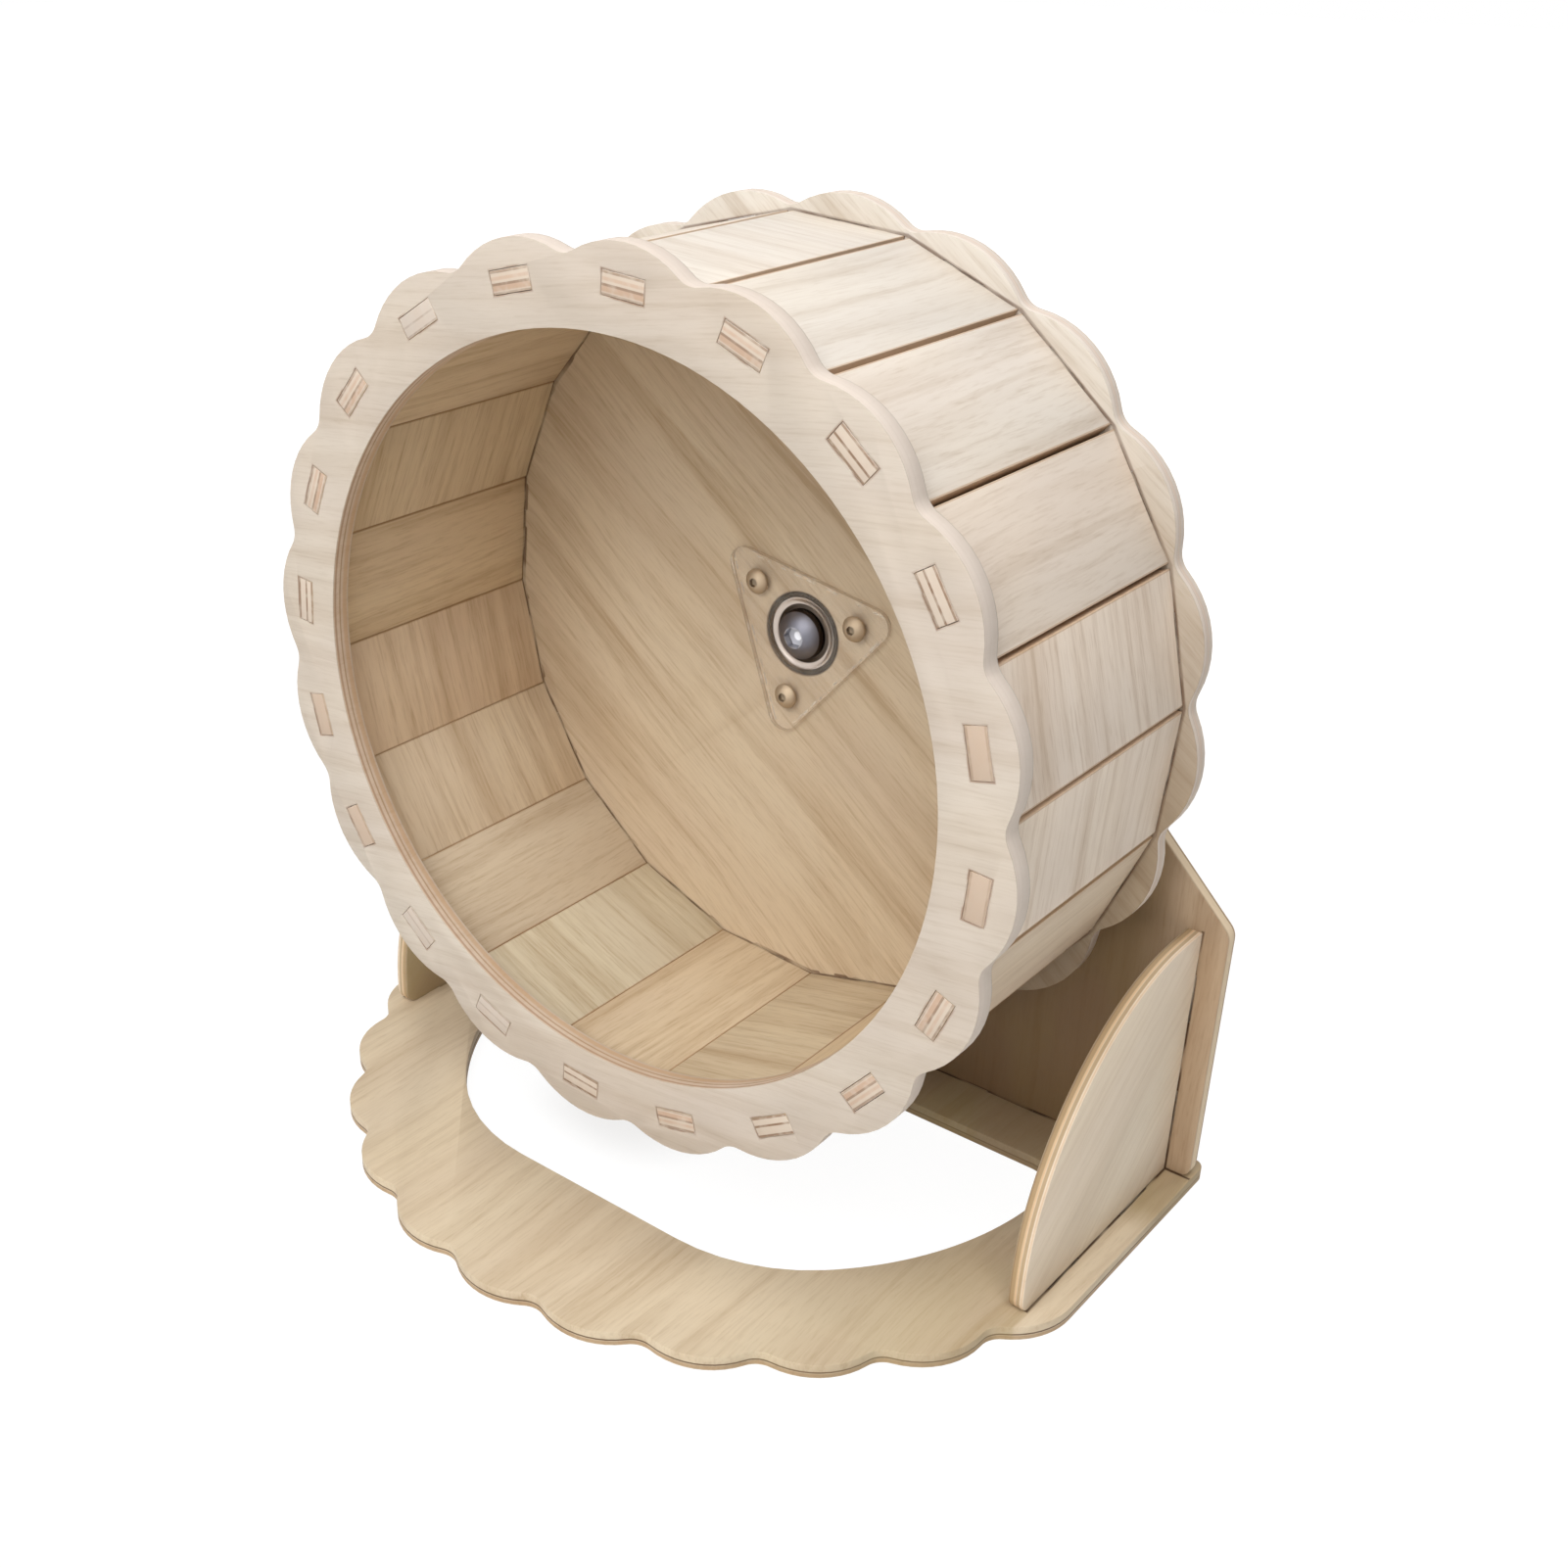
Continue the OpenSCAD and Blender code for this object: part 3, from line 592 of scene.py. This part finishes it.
def clear_material():
    """Cast acrylic that is seen through, with tan edges and a thin pale line beside them, both painted
    reflections.
    """
    material, graph = new_material("clear_acrylic")
    x, y, z = graph.place()
    normal = graph.node("ShaderNodeTexCoord", output="Normal")
    # Painted reflections: tan on the plates' sides, and a thin pale line beside them
    edge = 1 - abs(graph.node("ShaderNodeSeparateXYZ", inputs=[normal], output=1)).rise(0.3, 0.95)
    outwards = by_nearest(x, z, SLAT.turn + HUB_LEAN + THIRD / 2, THIRD)[1]
    line = 1 - abs(HUB_SIDE - outwards - 0.75).rise(0.15, 0.5)
    smear = graph.noise(x * 0.25, y * 0.25, z * 0.25, detail=2)
    haze = (edge * 0.45).most(line * smear.rise(0.4, 0.6) * 0.35).most(smear * 0.11)
    misty = graph.shade(base_color=graph.mix(edge, ACRYLIC_PALE, ACRYLIC_EDGE), roughness=0.3)
    see_through = graph.node("ShaderNodeBsdfTransparent", inputs={"Color": WHITE})
    facing = graph.node("ShaderNodeLayerWeight", inputs={"Blend": 0.5}, output="Facing")
    gloss = facing.maths("POWER", 5.0) * 0.9 + 0.006
    shine = graph.node("ShaderNodeBsdfGlossy", inputs={"Color": WHITE, "Roughness": 0.04})
    graph.finish(graph.mix_shaders(gloss, graph.mix_shaders(haze, see_through, misty), shine))
    return material


def metal_material(name, colour, roughness, lathe=False, dark=None, highlight=None):
    """Steel with fine marks, which run round the axle where it was turned on a lathe. dark and highlight
    give how far a place is darkened by painted shade or lightened by a painted highlight, from 0 to 1."""
    material, graph = new_material(name)
    x, y, z = graph.place()
    radius = distance(x, z)
    if lathe:
        marks = graph.noise(radius * 9, y * 9, 0.5, detail=2)
    else:
        marks = graph.noise(x * 5, y * 5, z * 5, detail=3)
    stain = graph.noise(x * 0.4, y * 0.4, z * 0.4, detail=2)
    tone = graph.mix(stain, scaled(colour, 1.05), scaled(colour, 0.88, 0.87, 0.85))
    # Painted highlight
    if highlight:
        tone = graph.mix(highlight(x, y, z), tone, METAL_HIGHLIGHT)
    # Painted shade
    if dark:
        tone = graph.mix(dark(x, y, z), tone, METAL_SHADE)
    normal = graph.bump(marks, 0.01 * MM, 0.35)
    graph.finish(graph.shade(base_color=tone, metallic=1.0, roughness=marks * 0.06 + roughness,
                             normal=normal))
    return material


def seen(graph):
    """1 for the camera, and for what metal and glass show, otherwise 0."""
    camera, glossy, through = (graph.node("ShaderNodeLightPath", output=name)
                               for name in ("Is Camera Ray", "Is Glossy Ray", "Is Transmission Ray"))
    return camera.most(glossy).most(through)


def floor_material(stage):
    """Pale paper, which glows where it is seen so that it joins the white background, with a painted shadow
    under the drum.
    """
    material, graph = new_material("floor_paper")
    x, y, z = graph.place()
    fibre = graph.noise(x * 0.02, y * 0.02, z, detail=3)
    paper = graph.mix(fibre, scaled(stage.floor, 1.0), scaled(stage.floor, 0.98))
    sideways = (x - SHADOW_MIDDLE[0]) / SHADOW_HALF[0]
    forwards = (y - SHADOW_MIDDLE[1]) / SHADOW_HALF[1]
    painted_shadow = 1 - distance(sideways, forwards).rise(0.2, 1)
    white = graph.node("ShaderNodeEmission",
                       inputs={"Color": graph.mix(painted_shadow, WHITE, SHADOW_GREY), "Strength": GLOW})
    away = distance(x, y).rise(GLOW_NEAR, GLOW_FAR)
    amount = seen(graph) * (away * (1 - GLOW_SHARE) + GLOW_SHARE)
    graph.finish(graph.mix_shaders(amount, graph.shade(base_color=paper, roughness=0.9), white))
    return material


# Meshes


def radius_of(box):
    """The radius of a round piece from its box."""
    return (box[1].x - box[0].x) / 2


def directions(turn):
    """The directions sideways and outwards at an angle round the axle, counted from the top."""
    return Vector((math.cos(turn), 0, -math.sin(turn))), Vector((math.sin(turn), 0, math.cos(turn)))


class SlatSizes:
    """Sizes of the slats in millimetres, measured on the first one."""

    def __init__(self):
        low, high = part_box(SLATS[0])
        middle = (low + high) / 2 - AXLE
        self.turn = math.atan2(middle.x, middle.z)
        tangent, outward = directions(self.turn)
        points = [v.co - AXLE for v in NODES[SLATS[0]].data.vertices]
        heights = [p.dot(outward) / MM for p in points]
        self.inner = min(heights)
        self.thickness = max(heights) - self.inner
        self.middle = self.inner + self.thickness / 2
        self.half = max(p.dot(tangent) for p in points) / MM
        ends = [p for p in points if p.y + AXLE.y < RING[0].y + 0.1 * MM]
        self.tab = max(p.dot(tangent) for p in ends) / MM


SLAT = SlatSizes()


def piece(name, bm, body, material, nodes=(), smooth_angle=0.5):
    """Makes a piece of a finished bmesh, shades it, and ties it to the frame."""
    for face in bm.faces:
        face.smooth = True
    for edge in bm.edges:
        edge.smooth = edge.is_manifold and edge.calc_face_angle() < smooth_angle
    mesh = bpy.data.meshes.new(name)
    bm.to_mesh(mesh)
    bm.free()
    mesh.materials.append(material)
    made = bpy.data.objects.new(name, mesh)
    bpy.context.scene.collection.objects.link(made)
    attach(made, body)
    if nodes:
        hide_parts(*nodes)


def node_mesh(node):
    """A merged copy of a CAD node's mesh, with its flat faces joined."""
    bm = bmesh.new()
    bm.from_mesh(NODES[node].data)
    bmesh.ops.remove_doubles(bm, verts=bm.verts, dist=0.001 * MM)
    bmesh.ops.dissolve_limit(bm, angle_limit=math.radians(1), verts=bm.verts, edges=bm.edges)
    return bm


def ease(bm, width):
    """Rounds the sharp edges."""
    sharp = [e for e in bm.edges if e.is_manifold and e.calc_face_angle() > SHARP_ANGLE]
    bmesh.ops.bevel(bm, geom=sharp, offset=width, offset_type="OFFSET", segments=ROUNDING_STEPS,
                    profile=0.5, affect="EDGES", clamp_overlap=True, material=-1)
    return bm


def turned(profile, segments):
    """A ring turned round the axle, from a closed profile of radius and depth in metres."""
    bm = bmesh.new()
    points = [bm.verts.new((0, y, AXLE.z + radius)) for radius, y in profile]
    edges = [bm.edges.new((a, b)) for a, b in zip(points, points[1:] + points[:1])]
    bmesh.ops.spin(bm, geom=points + edges, cent=(0, 0, AXLE.z), axis=AXLE_LINE, dvec=(0, 0, 0),
                   angle=2 * math.pi, steps=segments, use_merge=True, use_duplicate=False)
    bmesh.ops.recalc_face_normals(bm, faces=bm.faces)
    return bm


# Operators


class Undoable:
    """What the operators share."""
    bl_options = {"REGISTER", "UNDO"}


class WHEEL_OT_ring(Undoable, bpy.types.Operator):
    """Dress the scalloped front ring"""
    bl_idname = "wheel.ring"
    bl_label = "Front ring"

    def execute(self, context):
        wood = context.scene.wheel_wood
        board = ease(node_mesh("front_ring"), wood.eased)
        piece("ring_board", board, "wheel", ring_material(wood), ["front_ring"])
        return {"FINISHED"}


class WHEEL_OT_disc(Undoable, bpy.types.Operator):
    """Dress the scalloped back disc"""
    bl_idname = "wheel.disc"
    bl_label = "Back disc"

    def execute(self, context):
        wood = context.scene.wheel_wood
        board = ease(node_mesh("back_disc"), wood.eased)
        piece("disc_board", board, "wheel", disc_material(wood), ["back_disc"])
        return {"FINISHED"}


class WHEEL_OT_slats(Undoable, bpy.types.Operator):
    """Dress the slats of the drum"""
    bl_idname = "wheel.slats"
    bl_label = "Slats"

    def execute(self, context):
        wood = context.scene.wheel_wood
        for number, node in enumerate(SLATS):
            board = node_mesh(node)
            self.close_up(board, SLAT.turn + number * PITCH)
            ease(board, SLAT_ROUNDING)
            piece(f"{node}_board", board, "wheel", slat_material(number, wood), [node])
        return {"FINISHED"}

    def close_up(self, bm, turn):
        """Brings a slat's long sides nearer to its neighbours, more so on the outside of the drum."""
        near_side = SLAT.half - 0.5
        tangent, outward = directions(turn)
        for v in bm.verts:
            sideways = (v.co - AXLE).dot(tangent) / MM
            if abs(sideways) > near_side:
                height = (v.co - AXLE).dot(outward) / MM - SLAT.inner
                shift = CLOSER_INSIDE if height < SLAT.thickness / 2 else CLOSER_OUTSIDE
                v.co += tangent * math.copysign(shift * MM, sideways)


class WHEEL_OT_clear_plates(Undoable, bpy.types.Operator):
    """Dress the two clear plates of the hub"""
    bl_idname = "wheel.clear_plates"
    bl_label = "Clear hub plates"

    def execute(self, context):
        clear = clear_material()
        air, polished, same = 0.04 * MM, 0.2 * MM, 0.01 * MM
        for node, name, touching, shift in (("hub_plate", "clear_front_plate", DISC[0].y, -air),
                                            ("hub_back_plate", "clear_rear_plate", DISC[1].y, air)):
            plate = node_mesh(node)
            face = [v for v in plate.verts if abs(v.co.y - touching) < same]
            bmesh.ops.translate(plate, verts=face, vec=(0, shift, 0))
            piece(name, ease(plate, polished), "wheel", clear, [node])
        return {"FINISHED"}


class WHEEL_OT_hub_screws(Undoable, bpy.types.Operator):
    """Dress the three screws of the hub and their nuts"""
    bl_idname = "wheel.hub_screws"
    bl_label = "Hub screws and nuts"

    def execute(self, context):
        metal = context.scene.wheel_metal
        plated = metal_material("screw_zinc", metal.screw, 0.6, dark=self.recess)
        for node, name in (("hub_screws", "hub_screw_set"), ("hub_nuts", "hub_nut_set")):
            fasteners = ease(node_mesh(node), metal.eased)
            piece(name, fasteners, "wheel", plated, [node], smooth_angle=0.7)
        return {"FINISHED"}

    def recess(self, x, y, z):
        """Painted shade in the recess of each screw's head."""
        sideways, height = by_nearest(x, z, SLAT.turn + HUB_LEAN, THIRD)
        beyond = height - HUB_CIRCLE
        return (1 - (sideways * sideways + beyond * beyond).rise(0.8, 2.2)) * 0.4


class WHEEL_OT_bearing(Undoable, bpy.types.Operator):
    """Turn the ball bearing's races and shields, and finish its cage and balls"""
    bl_idname = "wheel.bearing"
    bl_label = "Ball bearing"

    def execute(self, context):
        metal = context.scene.wheel_metal
        ground = metal_material("race_steel", metal.bearing, 0.16, lathe=True, dark=self.under_lip)
        pressed = metal_material("shield_plate", metal.shield, 0.25, lathe=True, dark=self.round_bolt)
        outer, inner = radius_of(OUTER_RACE), radius_of(INNER_RACE)
        seat = radius_of(FRONT_SHIELD) + 0.05 * MM
        for name, node, body, radius, bore, chamfer in (
                ("outer_race", "bearing_outer_race", "wheel", outer, seat, 0.35 * MM),
                ("inner_race", "bearing_inner_race", "stand", inner, BORE, 0.2 * MM)):
            race = turned(self.race_profile(radius, bore, chamfer), metal.segments)
            piece(name, race, body, ground, [node], smooth_angle=0.6)
        for name, node, box, outside in (("front_shield", "bearing_front_shield", FRONT_SHIELD, 0),
                                         ("rear_shield", "bearing_rear_shield", REAR_SHIELD, 1)):
            shield = turned(self.shield_profile(box, outside, inner), metal.segments)
            piece(name, shield, "wheel", pressed, [node], smooth_angle=0.9)
        for node in ("bearing_cage", "bearing_balls"):
            NODES[node].data.materials.clear()
            NODES[node].data.materials.append(ground)
        return {"FINISHED"}

    def race_profile(self, radius, bore, chamfer):
        """A ring with a chamfer round its outside and a small one round its bore."""
        front, back, small = OUTER_RACE[0].y, OUTER_RACE[1].y, 0.1 * MM
        return [(radius, front + chamfer), (radius, back - chamfer), (radius - chamfer, back),
                (bore + small, back), (bore, back - small), (bore, front + small), (bore + small, front),
                (radius - chamfer, front)]

    def shield_profile(self, box, outside, inner):
        """A pressed disc: a raised rim in its seat, a shallow channel, and a lip round the inner race.
        outside is the number of the box's corner that lies on the shield's outer face."""
        play, rim_width, lip_width, slope = 0.35 * MM, 0.5 * MM, 0.6 * MM, 0.3 * MM
        face, rear = box[outside].y, box[1 - outside].y
        channel = face + (rear - face) * 0.5
        rim, lip = radius_of(box), inner + play
        return [(rim, rear), (rim, face), (rim - rim_width, face), (rim - rim_width - slope, channel),
                (lip + lip_width + slope, channel), (lip + lip_width, face), (lip, face), (lip, rear)]

    def under_lip(self, x, y, z):
        """Painted shade on the outer race's edge, under the lip of the clear plate."""
        lip = radius_of(OUTER_RACE) / MM - 1.6
        return distance(x, z).rise(lip, lip + 0.15)

    def round_bolt(self, x, y, z):
        """Painted shade on the shield's middle, round the bolt's head."""
        shade = 7.7
        return (1 - distance(x, z).rise(shade, shade + 0.3)) * 0.93


class WHEEL_OT_axle(Undoable, bpy.types.Operator):
    """Dress the axle bolt with its sleeve, washer and nut"""
    bl_idname = "wheel.axle"
    bl_label = "Axle"

    def execute(self, context):
        metal = context.scene.wheel_metal
        plated = metal_material("axle_zinc", metal.zinc, 0.45, dark=self.rim, highlight=self.socket)
        for node, name in (("axle_bolt", "round_head_bolt"), ("axle_spacer", "sleeve"),
                           ("axle_washer", "flat_washer"), ("axle_nut", "hexagon_nut")):
            fastener = ease(node_mesh(node), metal.eased)
            piece(name, fastener, "stand", plated, [node], smooth_angle=0.6)
        piece("bolt_thread", turned(self.thread_profile(), metal.segments), "stand", plated)
        return {"FINISHED"}

    def rim(self, x, y, z):
        """Painted shade on the rim under the bolt's dome."""
        rim = y.rise(RACE_FRONT - 1.6, RACE_FRONT - 1.3) * (1 - y.rise(RACE_FRONT, RACE_FRONT + 0.1))
        return rim * 0.97

    def socket(self, x, y, z):
        """Painted highlight in the bolt's recess, brightest in its middle."""
        radius, recess, middle = distance(x, z), 2.6, 0.9
        shine = ((1 - radius.rise(recess, recess + 0.4)) * 0.35
                 + (1 - radius.rise(middle, middle + 0.5)) * 0.65)
        return shine * (1 - y.rise(RACE_FRONT - 0.5, RACE_FRONT))

    def thread_profile(self):
        """Ridges of the bolt's thread, from the nut to the chamfer of the bolt's end."""
        chamfer = 0.3 * MM
        start, end = NUT[1].y, BOLT[1].y - chamfer
        crest = THREAD_ROOT + THREAD_RIDGE
        profile = []
        for ridge in range(int((end - start) / THREAD_PITCH)):
            foot = start + ridge * THREAD_PITCH
            profile += [(radius, foot + share * THREAD_PITCH) for radius, share in (
                (THREAD_ROOT, 0.15), (crest, 0.5), (crest, 0.65), (THREAD_ROOT, 1))]
        wall = THREAD_ROOT - THREAD_WALL
        return profile + [(wall, profile[-1][1]), (wall, profile[0][1])]


class WHEEL_OT_base(Undoable, bpy.types.Operator):
    """Dress the base plate"""
    bl_idname = "wheel.base"
    bl_label = "Base plate"

    def execute(self, context):
        wood = context.scene.wheel_wood
        bands = ((0.42, 0.06, scaled(wood.glue, 0.45), 0.9), (0.2, 0.14, scaled(wood.core, 0.75), 0.6))
        material = board_material("base_wood", wood, wood.base, 0.9, WOOD_SEED + 60, BASE_THICKNESS, bands,
                                  self.place, self.crease, self.painted_shade)
        board = ease(node_mesh("base_plate"), wood.eased)
        piece("base_board", board, "stand", material, ["base_plate"])
        return {"FINISHED"}

    def place(self, x, y, z):
        return y, x, z + AXLE.z / MM

    def crease(self, x, y, z):
        """Painted shadow lines on the top where the brackets and the upright stand."""
        bracket = abs(abs(x) - (BRACKET_OUTSIDE + LINE_OFF)).most(BRACKET_FRONT + 2.5 - y)
        upright = abs(y - (UPRIGHT_FRONT - LINE_OFF)).most(abs(x) - UPRIGHT[1].x / MM)
        return bracket.least(upright).most(BASE_TOP - SKIN - z)

    def painted_shade(self, x, y, z):
        """Painted shade on the strip before the upright, and less so on the right side by the bracket."""
        inside = 1 - x.rise(BRACKET_OUTSIDE, BRACKET_OUTSIDE + 1)
        by_bracket = x.rise(45, 95) * inside * (1 - y.rise(0, 20))
        return (y.rise(36, 50) * 0.68).most(by_bracket * 0.38)


class WHEEL_OT_upright(Undoable, bpy.types.Operator):
    """Dress the upright"""
    bl_idname = "wheel.upright"
    bl_label = "Upright"

    def execute(self, context):
        wood = context.scene.wheel_wood
        bands = ((0.5, 0.4, scaled(wood.bracket, 1.0, 0.93, 0.8), 0.85),
                 (0.86, 0.08, scaled(wood.glue, 1.2), 0.5))
        material = board_material("upright_wood", wood, wood.upright, 1.0, WOOD_SEED + 70,
                                  UPRIGHT_THICKNESS, bands, self.place, self.crease, self.painted_shade)
        board = ease(node_mesh("upright"), wood.eased)
        piece("upright_board", board, "stand", material, ["upright"])
        return {"FINISHED"}

    def place(self, x, y, z):
        return z, x, y - UPRIGHT_FRONT

    def crease(self, x, y, z):
        """Painted shadow lines on the front where the brackets and the base meet it."""
        bracket = abs(abs(x) - (BRACKET_OUTSIDE + LINE_OFF)).most(z - BRACKET_TOP)
        base = abs(z - (BASE_TOP + 2 * LINE_OFF))
        return bracket.least(base).most(y - UPRIGHT_FRONT - SKIN)

    def painted_shade(self, x, y, z):
        """Painted shade on the front between the brackets."""
        front = 1 - y.rise(UPRIGHT_FRONT + 0.1, UPRIGHT_FRONT + 0.3)
        return (1 - abs(x).rise(88, 100)) * front * 0.72


class WHEEL_OT_brackets(Undoable, bpy.types.Operator):
    """Dress the two quarter-round brackets"""
    bl_idname = "wheel.brackets"
    bl_label = "Brackets"

    def execute(self, context):
        wood = context.scene.wheel_wood
        olive = scaled(wood.core, 0.68, 0.72, 0.6)
        bands = ((0.09, 0.06, scaled(wood.glue, 0.6), 0.7), (0.25, 0.16, olive, 0.8),
                 (0.46, 0.07, scaled(wood.core, 1.2, 1.25, 1.1), 0.6), (0.66, 0.13, olive, 0.7),
                 (0.9, 0.06, scaled(wood.core, 1.1), 0.4))
        for node, seed in (("left_bracket", WOOD_SEED + 80), ("right_bracket", WOOD_SEED + 89)):
            material = board_material(f"{node}_wood", wood, wood.bracket, 0.45, seed,
                                      BRACKET_OUTSIDE - BRACKET_INSIDE, bands, self.place, self.crease,
                                      self.painted_shade)
            board = ease(node_mesh(node), wood.eased)
            piece(f"{node}_board", board, "stand", material, [node])
        return {"FINISHED"}

    def place(self, x, y, z):
        return *rotated(y, z, BRACKET_GRAIN), abs(x) - BRACKET_INSIDE

    def crease(self, x, y, z):
        """Painted shadow lines on the outer face where it meets the base and the upright."""
        base = abs(z - BASE_TOP - 2 * LINE_OFF)
        upright = abs(UPRIGHT_FRONT - y - 2 * LINE_OFF)
        return base.least(upright).most(BRACKET_OUTSIDE - SKIN - abs(x))

    def painted_shade(self, x, y, z):
        """Painted shade on the inner face."""
        return (1 - (abs(x) - BRACKET_INSIDE).rise(0.1, 0.3)) * 0.8


class WHEEL_OT_stage(Undoable, bpy.types.Operator):
    """Set the floor, the light and the camera"""
    bl_idname = "wheel.stage"
    bl_label = "Floor, light and camera"

    def execute(self, context):
        scene = context.scene
        stage = scene.wheel_stage
        self.floor(scene, stage)
        self.world(scene, stage)
        for name, (azimuth, elevation) in LAMPS.items():
            self.lamp(scene, name, getattr(stage, name), math.radians(azimuth), math.radians(elevation))
        self.camera(scene)
        scene.view_settings.view_transform = "Standard"
        return {"FINISHED"}

    def floor(self, scene, stage):
        bm = bmesh.new()
        bmesh.ops.create_grid(bm, x_segments=2, y_segments=2, size=FLOOR_HALF)
        bmesh.ops.translate(bm, verts=bm.verts, vec=(0, 0, BASE[0].z - FLOOR_DROP))
        mesh = bpy.data.meshes.new("floor")
        bm.to_mesh(mesh)
        bm.free()
        mesh.materials.append(floor_material(stage))
        floor = bpy.data.objects.new("floor", mesh)
        scene.collection.objects.link(floor)

    def world(self, scene, stage):
        scene.world = bpy.data.worlds.new("studio")
        graph = Graph(scene.world, "ShaderNodeOutputWorld")
        strength = seen(graph) * (1 - stage.ambient) + stage.ambient
        graph.finish(graph.node("ShaderNodeBackground", inputs={"Color": WHITE, "Strength": strength}))

    def lamp(self, scene, name, power, azimuth, elevation):
        light = bpy.data.lights.new(f"{name}_lamp", "AREA")
        light.energy = power
        light.size = LAMP_SIZE
        away = Vector((math.sin(azimuth) * math.cos(elevation), -math.cos(azimuth) * math.cos(elevation),
                       math.sin(elevation)))
        made = bpy.data.objects.new(f"{name}_lamp", light)
        made.matrix_world = (Matrix.Translation(LAMP_TARGET + away * LAMP_DISTANCE)
                             @ away.to_track_quat("Z", "Y").to_matrix().to_4x4())
        scene.collection.objects.link(made)

    def camera(self, scene):
        data = bpy.data.cameras.new("camera")
        data.sensor_fit = "HORIZONTAL"
        data.sensor_width = 36
        data.lens = CAMERA_LENS
        data.shift_x, data.shift_y = CAMERA_SHIFT
        data.clip_start = 0.01
        made = bpy.data.objects.new("camera", data)
        made.location = CAMERA_PLACE * MM + Vector((0, RING[0].y, AXLE.z))
        made.rotation_euler = (math.radians(90 - CAMERA_ELEVATION), 0, math.radians(CAMERA_AZIMUTH))
        scene.collection.objects.link(made)
        scene.camera = made


STEPS = (WHEEL_OT_stage, WHEEL_OT_ring, WHEEL_OT_disc, WHEEL_OT_slats, WHEEL_OT_clear_plates,
         WHEEL_OT_hub_screws, WHEEL_OT_bearing, WHEEL_OT_axle, WHEEL_OT_base, WHEEL_OT_upright,
         WHEEL_OT_brackets)
GROUPS = {"wheel_wood": WheelWood, "wheel_metal": WheelMetal, "wheel_stage": WheelStage}


class WHEEL_PT_panel(bpy.types.Panel):
    """Settings and steps of the exercise wheel"""
    bl_label = "Exercise wheel"
    bl_space_type = "VIEW_3D"
    bl_region_type = "UI"
    bl_category = "Exercise wheel"

    def draw(self, context):
        for step in STEPS:
            self.layout.operator(step.bl_idname)
        for name, group in GROUPS.items():
            box = self.layout.box()
            for setting in group.__annotations__:
                box.prop(getattr(context.scene, name), setting)


def register():
    for name, group in GROUPS.items():
        bpy.utils.register_class(group)
        setattr(bpy.types.Scene, name, PointerProperty(type=group))
    for step in (*STEPS, WHEEL_PT_panel):
        bpy.utils.register_class(step)


def unregister():
    for step in reversed((*STEPS, WHEEL_PT_panel)):
        bpy.utils.unregister_class(step)
    for name, group in reversed(GROUPS.items()):
        delattr(bpy.types.Scene, name)
        bpy.utils.unregister_class(group)


def main():
    register()
    for step in STEPS:
        family, action = step.bl_idname.split(".")
        getattr(getattr(bpy.ops, family), action)()


if __name__ == "__main__":
    main()
